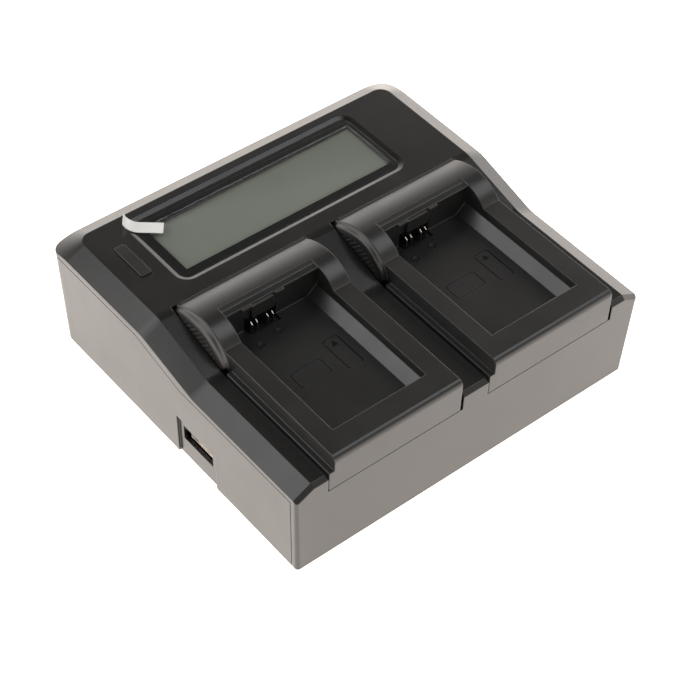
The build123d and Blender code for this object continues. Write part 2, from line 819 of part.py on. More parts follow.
for side, middle in bays.items():
    body_side = plate_profile(middle + plate_left, plate_front, plate_rear, plate_top, 0)
    room_side = plate_profile(
        middle + plate_left + plate_skin,
        plate_front + plate_skin,
        plate_rear - plate_skin,
        plate_top - plate_skin,
        plate_skin,
    )
    plate_screw_places = [(middle, y) for y in plate_screws_y]
    ear_side = plate_profile(middle + plate_ledge, plate_rear, plate_rear, hump_crest - front_arc, ear_drop)
    hood_cuts = [hood_cut(middle, number) for number in range(len(step_places))]

    # The ear at the hump's left end, with rounded edges and a sunk grip on its outer face
    with BuildPart() as ear:
        extrude(ear_side, amount=plate_left - plate_ledge)
        outer_edges = ear.faces().sort_by(Axis.X)[0].edges().filter_by(GeomType.CIRCLE)
        fillet(outer_edges, ear_round)
        with BuildSketch(Plane.YZ.offset(middle + plate_ledge)) as grip:
            grip_end = plate_rear - grip_margin
            add(plate_profile(0, plate_rear, grip_end, hump_crest - front_arc, ear_drop + grip_margin))
            with BuildLine():
                Polyline(
                    (hump_foot - ear_drop * 4, well_bottom),
                    (hump_foot - ear_drop * 4, deck_front),
                    (ramp_rear, deck_rear + grip_lift),
                    (case_depth, deck_rear + grip_lift),
                    (case_depth, well_bottom),
                    close=True,
                )
            make_face(mode=Mode.SUBTRACT)
        extrude(amount=grip_depth, mode=Mode.SUBTRACT)

    # The hollow under the plate, which leaves the battery's seat and the hood standing
    with BuildPart() as room:
        extrude(room_side, amount=plate_right - plate_left - 2 * plate_skin)
        with BuildSketch(Plane.XY.offset(seat_floor - seat_skin)):
            with Locations((middle + seat_middle, (seat_front + hump_face) / 2)):
                Rectangle(seat_right - seat_left + 2 * seat_skin, hump_face - seat_front + 2 * plate_skin)
        extrude(amount=hump_crest - seat_floor, mode=Mode.SUBTRACT)
        with BuildSketch(Plane.XY.offset(cover_top)):
            with Locations(*plate_screw_places):
                Circle(plate_post_diameter / 2)
        extrude(amount=seat_floor - cover_top, mode=Mode.SUBTRACT)

    # Battery plate: one moulding with the battery's seat, side arms, hood, flange and ear
    with BuildPart() as plate:
        extrude(body_side, amount=plate_right - plate_left)
        front_edges = plate.faces().sort_by(Axis.Y)[0].edges().filter_by(Axis.X)
        fillet(front_edges.sort_by(Axis.Z)[-1], front_round)
        # Two shallow steps run along the hood
        add(hood_cuts, mode=Mode.SUBTRACT)
        add(room.part, mode=Mode.SUBTRACT)
        # Flange along the left side, lower than the plate's top
        with BuildSketch(Plane.XY.offset(plate_bottom)):
            with Locations((middle + (plate_ledge + plate_left) / 2, (plate_front + ledge_rear) / 2)):
                Rectangle(plate_left - plate_ledge, ledge_rear - plate_front)
        extrude(amount=ledge_height - plate_bottom)
        add(ear.part)
        # Battery's seat with sloping feet along both side walls
        for near, far, height in ((lip_edge, seat_front, form_top), (hump_face, lip_edge, lip_bottom)):
            with BuildSketch(Plane.XZ.offset(-near)):
                with BuildLine():
                    Polyline(
                        (middle + seat_left, seat_floor + seat_chamfer_height),
                        (middle + seat_left + seat_chamfer_width, seat_floor),
                        (middle + seat_right - seat_chamfer_width, seat_floor),
                        (middle + seat_right, seat_floor + seat_chamfer_height),
                        (middle + seat_right, height),
                        (middle + seat_left, height),
                        close=True,
                    )
                make_face()
            extrude(amount=near - far, mode=Mode.SUBTRACT)
        # Tabs on the hood's lip, and the raised panel between them that runs down to the contacts
        with BuildSketch(Plane.XY.offset(lip_bottom)):
            for start, end in hood_tabs:
                with Locations((middle + (start + end) / 2, lip_edge - hood_tab_reach / 2)):
                    Rectangle(end - start, hood_tab_reach)
        extrude(amount=hood_tab_height)
        panel_left = hood_tabs[0][1] + hood_panel_margin
        panel_right = hood_tabs[1][0] - hood_panel_margin
        panel_front = lip_edge - hood_panel_reach
        with BuildSketch(Plane.XY.offset(contact_window_top)):
            with Locations((middle + (panel_left + panel_right) / 2, (panel_front + hump_face) / 2)):
                Rectangle(panel_right - panel_left, hump_face - panel_front)
        extrude(amount=lip_bottom - contact_window_top)
        # Window for the contacts, with a slot in the seat's floor before it
        with BuildSketch(Plane.XY.offset(seat_floor - contact_slot_depth)):
            with Locations((middle + contact_middle, (contact_slot_front + hump_face) / 2)):
                Rectangle(contact_window_width, hump_face - contact_slot_front)
        extrude(amount=contact_slot_depth, mode=Mode.SUBTRACT)
        with BuildSketch(Plane.XY.offset(seat_floor - contact_slot_depth)):
            with Locations((middle + contact_middle, hump_face + plate_skin / 2)):
                Rectangle(contact_window_width, plate_skin)
        extrude(amount=contact_window_top - seat_floor + contact_slot_depth, mode=Mode.SUBTRACT)
        with BuildSketch(Plane.XY.offset(cover_top)):
            with Locations(*plate_screw_places):
                Circle(plate_screw_diameter / 2 + thread_clearance)
        extrude(amount=seat_floor - seat_skin - cover_top, mode=Mode.SUBTRACT)
    plate.part.label = f"{side}_battery_plate"
    export_step(plate.part, f"parts/{side}_battery_plate.step")

    # Cover that closes the plate from below, with a window over the pads
    with BuildPart() as plate_cover:
        with BuildSketch(Plane.XY.offset(plate_bottom)):
            with Locations((middle + plate_middle, (plate_front + plate_rear) / 2)):
                Rectangle(
                    plate_right - plate_left - 2 * plate_skin - 2 * plate_cover_clearance,
                    plate_rear - plate_front - 2 * plate_skin - 2 * plate_cover_clearance,
                )
        extrude(amount=plate_cover_thickness)
        with BuildSketch(Plane.XY.offset(plate_bottom)):
            with Locations((middle + contact_middle, pin_row_y)):
                Rectangle(pin_pitch * pin_count + pad_gap, pin_carrier_depth + pad_gap)
            with Locations(*plate_screw_places):
                Circle(plate_screw_diameter / 2 + 2 * thread_clearance)
        extrude(amount=plate_cover_thickness, mode=Mode.SUBTRACT)
        with BuildSketch(Plane.XY.offset(plate_bottom)):
            with Locations(*plate_screw_places):
                Circle(plate_screw_head / 2 + 2 * thread_clearance)
        extrude(amount=plate_screw_head_height, mode=Mode.SUBTRACT)
    plate_cover.part.label = f"{side}_plate_cover"
    export_step(plate_cover.part, f"parts/{side}_plate_cover.step")

    # Screws that hold the plate's cover
    with BuildPart() as plate_screws:
        with BuildSketch(Plane.XY.offset(plate_bottom)):
            with Locations(*plate_screw_places):
                Circle(plate_screw_head / 2)
        extrude(amount=plate_screw_head_height)
        with BuildSketch(Plane.XY.offset(plate_bottom + plate_screw_head_height)):
            with Locations(*plate_screw_places):
                Circle(plate_screw_diameter / 2)
        extrude(amount=plate_screw_length - plate_screw_head_height)
    plate_screws.part.label = f"{side}_plate_screws"
    export_step(plate_screws.part, f"parts/{side}_plate_screws.step")

    # Small circuit board on the cover, under the contacts
    with BuildPart() as plate_board:
        with BuildSketch(Plane.XY.offset(cover_top)):
            with Locations((middle + contact_middle, (plate_board_front + plate_board_rear) / 2)):
                Rectangle(plate_board_width, plate_board_rear - plate_board_front)
        extrude(amount=plate_board_thickness)
    plate_board.part.label = f"{side}_plate_board"
    export_step(plate_board.part, f"parts/{side}_plate_board.step")

    # Contact blades that meet the battery, and the pads that meet the spring pins
    with BuildPart() as plate_contacts:
        for spacing in blade_spacings:
            with BuildSketch(Plane.YZ.offset(middle + contact_middle + spacing - blade_thickness / 2)):
                with BuildLine():
                    Polyline(
                        (blade_nose, seat_floor),
                        (blade_nose, blade_top - blade_rise),
                        (blade_nose + blade_nose_length, blade_top),
                        (blade_rear, blade_top),
                        (blade_rear, blade_foot),
                        (blade_rear - blade_tail, blade_foot),
                        (blade_rear - blade_tail, seat_floor),
                        close=True,
                    )
                make_face()
            extrude(amount=blade_thickness)
        with BuildSketch(Plane.XY.offset(cover_top)):
            with Locations((middle + contact_middle, pin_row_y)):
                with GridLocations(pin_pitch, 0, pin_count, 1):
                    Rectangle(pin_pitch - pad_gap, pin_carrier_depth)
        extrude(amount=-pad_thickness)
    plate_contacts.part.label = f"{side}_plate_contacts"
    export_step(plate_contacts.part, f"parts/{side}_plate_contacts.step")

    # Holder that keeps the blades apart behind the window
    with BuildPart() as contact_holder:
        with BuildSketch(Plane.XY.offset(blade_foot)):
            with Locations((middle + contact_middle, (holder_front + holder_rear) / 2)):
                Rectangle(holder_width, holder_rear - holder_front)
        extrude(amount=holder_top - blade_foot)
        with BuildSketch(Plane.XY.offset(blade_foot)):
            slot_rear = holder_rear - holder_back
            for spacing in blade_spacings:
                with Locations((middle + contact_middle + spacing, (hump_face + slot_rear) / 2)):
                    Rectangle(blade_slot, slot_rear - hump_face)
        extrude(amount=blade_top + pin_gap - blade_foot, mode=Mode.SUBTRACT)
    contact_holder.part.label = f"{side}_contact_holder"
    export_step(contact_holder.part, f"parts/{side}_contact_holder.step")

    # Carrier of the spring pins, let into the pocket's floor from below
    with BuildPart() as pin_carrier:
        with BuildSketch(Plane.XY.offset(pocket_floor)):
            with Locations((middle + contact_middle, pin_row_y)):
                Rectangle(pin_carrier_width, pin_carrier_depth)
        extrude(amount=-pin_carrier_drop)
        with BuildSketch(Plane.XY.offset(well_bottom)):
            with Locations((middle + contact_middle, pin_row_y)):
                Rectangle(
                    pin_carrier_width + 2 * pin_carrier_flange,
                    pin_carrier_depth + 2 * pin_carrier_flange,
                )
        extrude(amount=-pin_carrier_flange_thickness)
        with BuildSketch(Plane.XY.offset(pocket_floor)):
            with Locations((middle + contact_middle, pin_row_y)):
                with GridLocations(pin_pitch, 0, pin_count, 1):
                    Circle(pin_diameter / 2 + thread_clearance)
        extrude(amount=-pin_carrier_drop, mode=Mode.SUBTRACT)
    pin_carrier.part.label = f"{side}_pin_carrier"
    export_step(pin_carrier.part, f"parts/{side}_pin_carrier.step")

    # Spring pins that stop just under the plate's pads
    with BuildPart() as spring_pins:
        with BuildSketch(Plane.XY.offset(pocket_floor - pin_carrier_drop)):
            with Locations((middle + contact_middle, pin_row_y)):
                with GridLocations(pin_pitch, 0, pin_count, 1):
                    Circle(pin_diameter / 2)
        extrude(amount=cover_top - pad_thickness - pin_gap - pocket_floor + pin_carrier_drop)
    spring_pins.part.label = f"{side}_spring_pins"
    export_step(spring_pins.part, f"parts/{side}_spring_pins.step")

    # Flat cable from the carrier down to its connector on the main board
    with BuildPart() as bay_cable:
        with BuildSketch(Plane.YZ.offset(middle + contact_middle - bay_cable_width / 2)):
            with BuildLine():
                FilletPolyline(
                    (bay_connector_y, board_top + connector_height),
                    (bay_connector_y, cable_middle),
                    (pin_row_y, cable_middle),
                    (pin_row_y, pocket_floor - pin_carrier_drop),
                    radius=cable_bend,
                )
            trace(line_width=cable_thickness)
        extrude(amount=bay_cable_width)
    bay_cable.part.label = f"{side}_bay_cable"
    export_step(bay_cable.part, f"parts/{side}_bay_cable.step")

# Clear window over the display
with BuildPart() as display_window:
    with BuildSketch(Plane.XY.offset(lens_bottom)):
        with Locations(recess_middle):
            RectangleRounded(lens_width, lens_depth, lens_corner - lens_clearance)
    extrude(amount=lens_thickness)
display_window.part.label = "display_window"
export_step(display_window.part, "parts/display_window.step")

# Protective film on the window, over the part that shows the display
with BuildPart() as screen_film:
    with BuildSketch(Plane.XY.offset(lens_top)):
        with Locations(view_middle):
            RectangleRounded(view_width, view_depth, view_corner)
    extrude(amount=film_thickness)
screen_film.part.label = "screen_film"
export_step(screen_film.part, "parts/screen_film.step")

# Pull tab of the film: a strip that lies on it and curls up at its free end
heading = (cos(radians(tab_heading)), sin(radians(tab_heading)), 0)
aside = (sin(radians(tab_heading)), -cos(radians(tab_heading)), 0)
tab_plane = Plane(origin=(tab_end[0], tab_end[1], lens_top + film_thickness), x_dir=heading, z_dir=aside)
curl_end = (
    tab_flat + tab_curl_radius * sin(radians(tab_curl_angle)),
    tab_curl_radius * (1 - cos(radians(tab_curl_angle))) + tab_thickness / 2,
)
curl_middle = (
    tab_flat + tab_curl_radius * sin(radians(tab_curl_angle / 2)),
    tab_curl_radius * (1 - cos(radians(tab_curl_angle / 2))) + tab_thickness / 2,
)
with BuildPart() as film_pull_tab:
    with BuildSketch(tab_plane):
        with BuildLine():
            Line((0, tab_thickness / 2), (tab_flat, tab_thickness / 2))
            ThreePointArc((tab_flat, tab_thickness / 2), curl_middle, curl_end)
        trace(line_width=tab_thickness)
    extrude(amount=tab_width / 2, both=True)
film_pull_tab.part.label = "film_pull_tab"
export_step(film_pull_tab.part, "parts/film_pull_tab.step")

# Black frame seen through the window, with a skirt that holds the panel
with BuildPart() as display_bezel:
    with BuildSketch(Plane.XY.offset(glass_top)):
        with Locations(recess_middle):
            Rectangle(bezel_width, bezel_depth)
    extrude(amount=bezel_plate_thickness)
    with BuildSketch(Plane.XY.offset(bezel_plate_top)):
        with Locations(recess_middle):
            RectangleRounded(
                lens_width - 2 * lens_ledge - 2 * lens_clearance,
                lens_depth - 2 * lens_ledge - 2 * lens_clearance,
                lens_corner - lens_ledge - lens_clearance,
            )
    extrude(amount=lens_ledge_thickness)
    with BuildSketch(Plane.XY.offset(glass_top)):
        with Locations(recess_middle):
            Rectangle(bezel_width, bezel_depth)
            Rectangle(bezel_width - 2 * bezel_wall, bezel_depth - 2 * bezel_wall, mode=Mode.SUBTRACT)
    extrude(amount=-bezel_skirt)
    with BuildSketch(Plane.XY.offset(glass_top)):
        with Locations(view_middle):
            Rectangle(view_width, view_depth)
    extrude(amount=lens_bottom - glass_top, mode=Mode.SUBTRACT)
display_bezel.part.label = "display_bezel"
export_step(display_bezel.part, "parts/display_bezel.step")

# Liquid crystal panel
with BuildPart() as lcd_panel:
    with BuildSketch(Plane.XY.offset(glass_bottom)):
        with Locations(recess_middle):
            Rectangle(glass_width, glass_depth)
    extrude(amount=glass_thickness)
lcd_panel.part.label = "lcd_panel"
export_step(lcd_panel.part, "parts/lcd_panel.step")

# Backlight panel between the liquid crystal panel and the board
with BuildPart() as backlight_panel:
    with BuildSketch(Plane.XY.offset(backlight_bottom)):
        with Locations(recess_middle):
            Rectangle(glass_width, glass_depth)
    extrude(amount=backlight_thickness)
backlight_panel.part.label = "backlight_panel"
export_step(backlight_panel.part, "parts/backlight_panel.step")

# Display board, screwed to four posts of the cover
with BuildPart() as display_board:
    with BuildSketch(Plane.XY.offset(display_board_bottom)):
        with Locations(display_board_middle):
            Rectangle(display_board_right - display_board_left, display_board_rear - display_board_front)
        with Locations(*display_screw_places):
            Circle(board_screw_diameter / 2 + 2 * thread_clearance, mode=Mode.SUBTRACT)
    extrude(amount=display_board_thickness)
display_board.part.label = "display_board"
export_step(display_board.part, "parts/display_board.step")

with BuildPart() as display_screws:
    with BuildSketch(Plane.XY.offset(display_board_bottom)):
        with Locations(*display_screw_places):
            Circle(board_screw_head / 2)
    extrude(amount=-board_screw_head_height)
    with BuildSketch(Plane.XY.offset(display_board_bottom)):
        with Locations(*display_screw_places):
            Circle(board_screw_diameter / 2 - thread_clearance)
    extrude(amount=board_screw_length)
display_screws.part.label = "display_screws"
export_step(display_screws.part, "parts/display_screws.step")

# Mode button: a long cap with a flange that keeps it under the deck
with BuildPart() as mode_button:
    with BuildSketch(Plane.XY.offset(flange_top)):
        with Locations(button_middle):
            RectangleRounded(button_width, button_length, button_corner)
    extrude(amount=deck_rear + button_stand - flange_top)
    fillet(mode_button.faces().sort_by(Axis.Z)[-1].edges(), button_round)
    with BuildSketch(Plane.XY.offset(flange_top)):
        with Locations(button_middle):
            RectangleRounded(
                button_width + 2 * button_flange,
                button_length + 2 * button_flange,
                button_corner,
            )
    extrude(amount=-button_flange_thickness)
mode_button.part.label = "mode_button"
export_step(mode_button.part, "parts/mode_button.step")

# Tact switch under the button, and the plunger that moves in it
with BuildPart() as tact_switch:
    with BuildSketch(Plane.XY.offset(display_board_top)):
        with Locations(button_middle):
            Rectangle(switch_size, switch_size)
    extrude(amount=switch_height)
    with BuildSketch(Plane.XY.offset(display_board_top + switch_height)):
        with Locations(button_middle):
            Circle(plunger_diameter / 2 + plunger_clearance)
    extrude(amount=-plunger_reach - button_travel - button_gap, mode=Mode.SUBTRACT)
tact_switch.part.label = "tact_switch"
export_step(tact_switch.part, "parts/tact_switch.step")

with BuildPart() as switch_plunger:
    with BuildSketch(Plane.XY.offset(flange_top - button_flange_thickness)):
        with Locations(button_middle):
            Circle(plunger_diameter / 2)
    extrude(amount=display_board_top + switch_height - plunger_reach - flange_top + button_flange_thickness)
switch_plunger.part.label = "switch_plunger"
export_step(switch_plunger.part, "parts/switch_plunger.step")

# Main board, with a corner cut away for the rear screw column
with BuildPart() as main_board:
    with BuildSketch(Plane.XY.offset(board_bottom)):
        with Locations(((board_left + board_right) / 2, (board_front + board_rear) / 2)):
            Rectangle(board_right - board_left, board_rear - board_front)
        with Locations((board_left + board_notch / 2, board_rear - board_notch / 2)):
            Rectangle(board_notch, board_notch, mode=Mode.SUBTRACT)
        with Locations(*board_screw_places):
            Circle(board_screw_diameter / 2 + 2 * thread_clearance, mode=Mode.SUBTRACT)
    extrude(amount=board_thickness)
main_board.part.label = "main_board"
export_step(main_board.part, "parts/main_board.step")

with BuildPart() as board_screws:
    with BuildSketch(Plane.XY.offset(board_top)):
        with Locations(*board_screw_places):
            Circle(board_screw_head / 2)
    extrude(amount=board_screw_head_height)
    with BuildSketch(Plane.XY.offset(board_top)):
        with Locations(*board_screw_places):
            Circle(board_screw_diameter / 2 - thread_clearance)
    extrude(amount=-board_screw_length)
board_screws.part.label = "board_screws"
export_step(board_screws.part, "parts/board_screws.step")

# Mains inlet: a block with a two-pin socket
with BuildPart() as ac_inlet:
    with BuildSketch(Plane.XZ.offset(-inlet_face)):
        with Locations((inlet_middle_x, inlet_height)):
            RectangleRounded(inlet_width, inlet_tall, inlet_corner)
    extrude(amount=inlet_length)
    with BuildSketch(Plane.XZ.offset(-inlet_face)):
        with Locations((inlet_middle_x, inlet_height)):
            SlotOverall(inlet_socket_width, inlet_socket_height)
    extrude(amount=inlet_socket_depth, mode=Mode.SUBTRACT)
    with BuildSketch(Plane.XZ.offset(-inlet_face)):
        with Locations((inlet_middle_x, inlet_height)):
            with GridLocations(inlet_pin_pitch, 0, 2, 1):
                Circle(inlet_pin_diameter / 2 + thread_clearance)
    extrude(amount=inlet_length, mode=Mode.SUBTRACT)
ac_inlet.part.label = "ac_inlet"
export_step(ac_inlet.part, "parts/ac_inlet.step")

with BuildPart() as inlet_pins:
    with BuildSketch(Plane.XZ.offset(-inlet_face + inlet_pin_sink)):
        with Locations((inlet_middle_x, inlet_height)):
            with GridLocations(inlet_pin_pitch, 0, 2, 1):
                Circle(inlet_pin_diameter / 2)
    extrude(amount=inlet_length - inlet_pin_sink + inlet_pin_tail)
    chamfer(inlet_pins.faces().filter_by(Axis.Y).group_by(Axis.Y)[-1].edges(), inlet_pin_tip)
inlet_pins.part.label = "inlet_pins"
export_step(inlet_pins.part, "parts/inlet_pins.step")

# Glass fuse and its two clips
with BuildPart() as fuse:
    with BuildSketch(Plane.YZ.offset(fuse_middle_x - fuse_length / 2)):
        with Locations((fuse_middle_y, board_top + fuse_height)):
            Circle(fuse_diameter / 2)
    extrude(amount=fuse_length)
fuse.part.label = "fuse"
export_step(fuse.part, "parts/fuse.step")

with BuildPart() as fuse_clips:
    for end in (-1, 1):
        clip_middle = fuse_middle_x + end * (fuse_length / 2 - fuse_clip_inset)
        with BuildSketch(Plane.YZ.offset(clip_middle - fuse_clip_width / 2)):
            with Locations((fuse_middle_y, board_top + fuse_height / 2)):
                Rectangle(fuse_diameter + 2 * fuse_clip_wall, fuse_height)
            with Locations((fuse_middle_y, board_top + fuse_height)):
                Circle(fuse_diameter / 2 + fuse_clip_wall)
                Circle(fuse_diameter / 2 + thread_clearance, mode=Mode.SUBTRACT)
            with Locations((fuse_middle_y, board_top + fuse_height + fuse_diameter)):
                Rectangle(fuse_diameter - 2 * fuse_clip_wall, 2 * fuse_diameter, mode=Mode.SUBTRACT)
        extrude(amount=fuse_clip_width)
fuse_clips.part.label = "fuse_clips"
export_step(fuse_clips.part, "parts/fuse_clips.step")

# Transformer: a core with two windows and a winding round its middle leg
with BuildPart() as transformer_core:
    with BuildSketch(Plane.XZ.offset(-transformer_y - core_depth / 2)):
        with Locations((0, board_top + core_height / 2)):
            Rectangle(core_width, core_height)
            with GridLocations(core_leg + core_window, 0, 2, 1):
                Rectangle(core_window, core_height - core_leg, mode=Mode.SUBTRACT)
    extrude(amount=core_depth)
transformer_core.part.label = "transformer_core"
export_step(transformer_core.part, "parts/transformer_core.step")

with BuildPart() as transformer_winding:
    with BuildSketch(Plane.XY.offset(board_top + core_leg / 2 + winding_clearance)):
        with Locations((0, transformer_y)):
            RectangleRounded(
                core_leg + 2 * core_window - 2 * winding_clearance,
                winding_depth,
                winding_corner,
            )
            Rectangle(
                core_leg + 2 * winding_clearance,
                core_depth + 2 * winding_clearance,
                mode=Mode.SUBTRACT,
            )
    extrude(amount=core_height - core_leg - 2 * winding_clearance)
transformer_winding.part.label = "transformer_winding"
export_step(transformer_winding.part, "parts/transformer_winding.step")

# Input capacitor and the two output capacitors
with BuildPart() as input_capacitor:
    with BuildSketch(Plane.XY.offset(board_top)):
        with Locations(input_capacitor_place):
            Circle(input_capacitor_diameter / 2)
    extrude(amount=input_capacitor_height)
    chamfer(input_capacitor.edges().filter_by(GeomType.CIRCLE), can_bevel)
input_capacitor.part.label = "input_capacitor"
export_step(input_capacitor.part, "parts/input_capacitor.step")

with BuildPart() as output_capacitors:
    with BuildSketch(Plane.XY.offset(board_top)):
        with Locations(*output_capacitor_places):
            Circle(output_capacitor_diameter / 2)
    extrude(amount=output_capacitor_height)
    chamfer(output_capacitors.edges().filter_by(GeomType.CIRCLE), can_bevel)
output_capacitors.part.label = "output_capacitors"
export_step(output_capacitors.part, "parts/output_capacitors.step")

# Line choke: a ring core that lies on the board
with BuildPart() as line_choke:
    with BuildSketch(Plane.XY.offset(board_top)):
        with Locations(choke_place):
            Circle(choke_diameter / 2)
            Circle(choke_bore / 2, mode=Mode.SUBTRACT)
    extrude(amount=choke_height)
    chamfer(line_choke.edges().filter_by(GeomType.CIRCLE), choke_bevel)
line_choke.part.label = "line_choke"
export_step(line_choke.part, "parts/line_choke.step")

# Finned heat sink with the power transistor against its plain side
fin_pitch = (heat_sink_length - fin_thickness) / (heat_sink_fins - 1)
with BuildPart() as heat_sink:
    with BuildSketch(Plane.XY.offset(board_top)):
        with Locations((heat_sink_x, heat_sink_y)):
            Rectangle(heat_sink_back, heat_sink_length)
        with Locations((heat_sink_x - (heat_sink_back + fin_length) / 2, heat_sink_y)):
            with GridLocations(0, fin_pitch, 1, heat_sink_fins):
                Rectangle(fin_length, fin_thickness)
    extrude(amount=heat_sink_height)
heat_sink.part.label = "heat_sink"
export_step(heat_sink.part, "parts/heat_sink.step")

body_low, body_high = transistor_body
transistor_back = heat_sink_x + heat_sink_back / 2
with BuildPart() as power_transistor:
    with BuildSketch(Plane.YZ.offset(transistor_back)):
        with Locations((heat_sink_y, board_top + (body_low + body_high) / 2)):
            Rectangle(transistor_width, body_high - body_low)
    extrude(amount=transistor_thickness)
    with BuildSketch(Plane.YZ.offset(transistor_back)):
        with Locations((heat_sink_y, board_top + (body_low + transistor_tab_top) / 2)):
            Rectangle(transistor_width, transistor_tab_top - body_low)
        with Locations((heat_sink_y, board_top + (body_high + transistor_tab_top) / 2)):
            Circle(transistor_hole / 2, mode=Mode.SUBTRACT)
    extrude(amount=transistor_tab_thickness)
    with BuildSketch(Plane.XY.offset(board_top)):
        with Locations((transistor_back + transistor_thickness / 2, heat_sink_y)):
            with GridLocations(0, transistor_lead_pitch, 1, 3):
                Rectangle(*transistor_lead)
    extrude(amount=body_low)
power_transistor.part.label = "power_transistor"
export_step(power_transistor.part, "parts/power_transistor.step")

# Charge controller chips on the front of the board
with BuildPart() as controller_chips:
    for (chip_x, from_front), size in chip_places:
        with BuildSketch(Plane.XY.offset(board_top)):
            with Locations((chip_x, board_front + from_front)):
                Rectangle(*size)
        extrude(amount=chip_height)
controller_chips.part.label = "controller_chips"
export_step(controller_chips.part, "parts/controller_chips.step")

# Cable between the two boards and the connectors of all cables
with BuildPart() as ribbon_cable:
    with BuildSketch(Plane.XZ.offset(-ribbon_y - bay_cable_width / 2)):
        with BuildLine():
            FilletPolyline(
                (ribbon_low_x, board_top + connector_height),
                (ribbon_low_x, ribbon_middle),
                (ribbon_high_x, ribbon_middle),
                (ribbon_high_x, display_board_bottom - connector_height),
                radius=cable_bend,
            )
        trace(line_width=cable_thickness)
    extrude(amount=bay_cable_width)
ribbon_cable.part.label = "ribbon_cable"
export_step(ribbon_cable.part, "parts/ribbon_cable.step")

with BuildPart() as cable_connectors:
    with BuildSketch(Plane.XY.offset(board_top)):
        with Locations(*[(middle + contact_middle, bay_connector_y) for middle in bays.values()]):
            Rectangle(connector_length, connector_depth)
        with Locations((ribbon_low_x, ribbon_y)):
            Rectangle(connector_depth, connector_length)
    extrude(amount=connector_height)
    with BuildSketch(Plane.XY.offset(display_board_bottom)):
        with Locations((ribbon_high_x, ribbon_y)):
            Rectangle(connector_depth, connector_length)
    extrude(amount=-connector_height)
cable_connectors.part.label = "cable_connectors"
export_step(cable_connectors.part, "parts/cable_connectors.step")

# USB outlet: folded metal shell, plastic tongue and four contacts
with BuildPart() as usb_socket_shell:
    with BuildSketch(Plane.YZ.offset(usb_mouth)):
        with Locations((usb_middle_y, board_top + usb_shell_height / 2)):
            RectangleRounded(usb_shell_width, usb_shell_height, 2 * usb_shell_sheet)
    extrude(amount=usb_shell_length)
    with BuildSketch(Plane.YZ.offset(usb_mouth)):
        with Locations((usb_middle_y, board_top + usb_shell_height / 2)):
            RectangleRounded(
                usb_shell_width - 2 * usb_shell_sheet,
                usb_shell_height - 2 * usb_shell_sheet,
                usb_shell_sheet,
            )
    extrude(amount=usb_shell_length - usb_shell_sheet, mode=Mode.SUBTRACT)
usb_socket_shell.part.label = "usb_socket_shell"
export_step(usb_socket_shell.part, "parts/usb_socket_shell.step")

with BuildPart() as usb_tongue:
    with BuildSketch(Plane.YZ.offset(usb_mouth + tongue_inset)):
        with Locations((usb_middle_y, tongue_bottom + tongue_thickness / 2)):
            Rectangle(tongue_width, tongue_thickness)
    extrude(amount=tongue_end - usb_mouth - tongue_inset)
    with BuildSketch(Plane.YZ.offset(tongue_end)):
        with Locations((usb_middle_y, board_top + usb_shell_height / 2)):
            Rectangle(
                usb_shell_width - 2 * usb_shell_sheet - 2 * tongue_side_gap,
                usb_shell_height - 2 * usb_shell_sheet - 2 * tongue_lid_gap,
            )
    extrude(amount=-tongue_block)
usb_tongue.part.label = "usb_tongue"
export_step(usb_tongue.part, "parts/usb_tongue.step")

contact_start = usb_mouth + tongue_inset + usb_contact_start
contact_end = tongue_end - tongue_block - usb_contact_end
with BuildPart() as usb_contacts:
    with BuildSketch(Plane.XY.offset(tongue_bottom)):
        for spacing in usb_contact_spacings:
            with Locations(((contact_start + contact_end) / 2, usb_middle_y + spacing)):
                Rectangle(contact_end - contact_start, usb_contact_width)
    extrude(amount=-usb_contact_thickness)
usb_contacts.part.label = "usb_contacts"
export_step(usb_contacts.part, "parts/usb_contacts.step")

# Rubber feet and case screws
with BuildPart() as rubber_feet:
    with BuildSketch(Plane.XY):
        with Locations(*foot_places):
            Circle(foot_diameter / 2)
    extrude(amount=foot_stand + foot_recess)
    chamfer(rubber_feet.faces().group_by(Axis.Z)[0].edges(), foot_bevel)
rubber_feet.part.label = "rubber_feet"
export_step(rubber_feet.part, "parts/rubber_feet.step")

with BuildPart() as case_screws:
    with BuildSketch(Plane.XY.offset(foot_stand + screw_head_recess)):
        with Locations(*case_screw_places):
            Circle(screw_head_diameter / 2)
    extrude(amount=-screw_head_height)
    with BuildSketch(Plane.XY.offset(foot_stand + screw_head_recess)):
        with Locations(*case_screw_places):
            Circle(screw_diameter / 2 - thread_clearance)
    extrude(amount=screw_length)
case_screws.part.label = "case_screws"
export_step(case_screws.part, "parts/case_screws.step")
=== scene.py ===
import math

import bmesh
import bpy
from mathutils import Matrix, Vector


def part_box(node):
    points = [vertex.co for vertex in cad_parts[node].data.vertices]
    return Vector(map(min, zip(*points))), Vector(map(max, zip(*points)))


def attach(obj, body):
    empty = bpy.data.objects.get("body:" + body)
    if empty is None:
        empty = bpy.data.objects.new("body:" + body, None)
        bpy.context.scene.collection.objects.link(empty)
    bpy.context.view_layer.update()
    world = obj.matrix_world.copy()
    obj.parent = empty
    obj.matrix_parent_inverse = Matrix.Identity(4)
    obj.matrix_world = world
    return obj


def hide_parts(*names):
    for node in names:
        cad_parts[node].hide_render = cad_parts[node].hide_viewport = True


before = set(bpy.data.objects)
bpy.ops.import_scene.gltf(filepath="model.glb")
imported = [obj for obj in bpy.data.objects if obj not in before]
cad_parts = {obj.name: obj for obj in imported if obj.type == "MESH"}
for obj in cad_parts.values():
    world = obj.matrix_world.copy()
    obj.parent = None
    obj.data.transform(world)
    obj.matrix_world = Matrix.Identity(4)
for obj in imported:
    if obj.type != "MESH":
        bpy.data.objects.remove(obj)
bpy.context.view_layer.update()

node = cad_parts
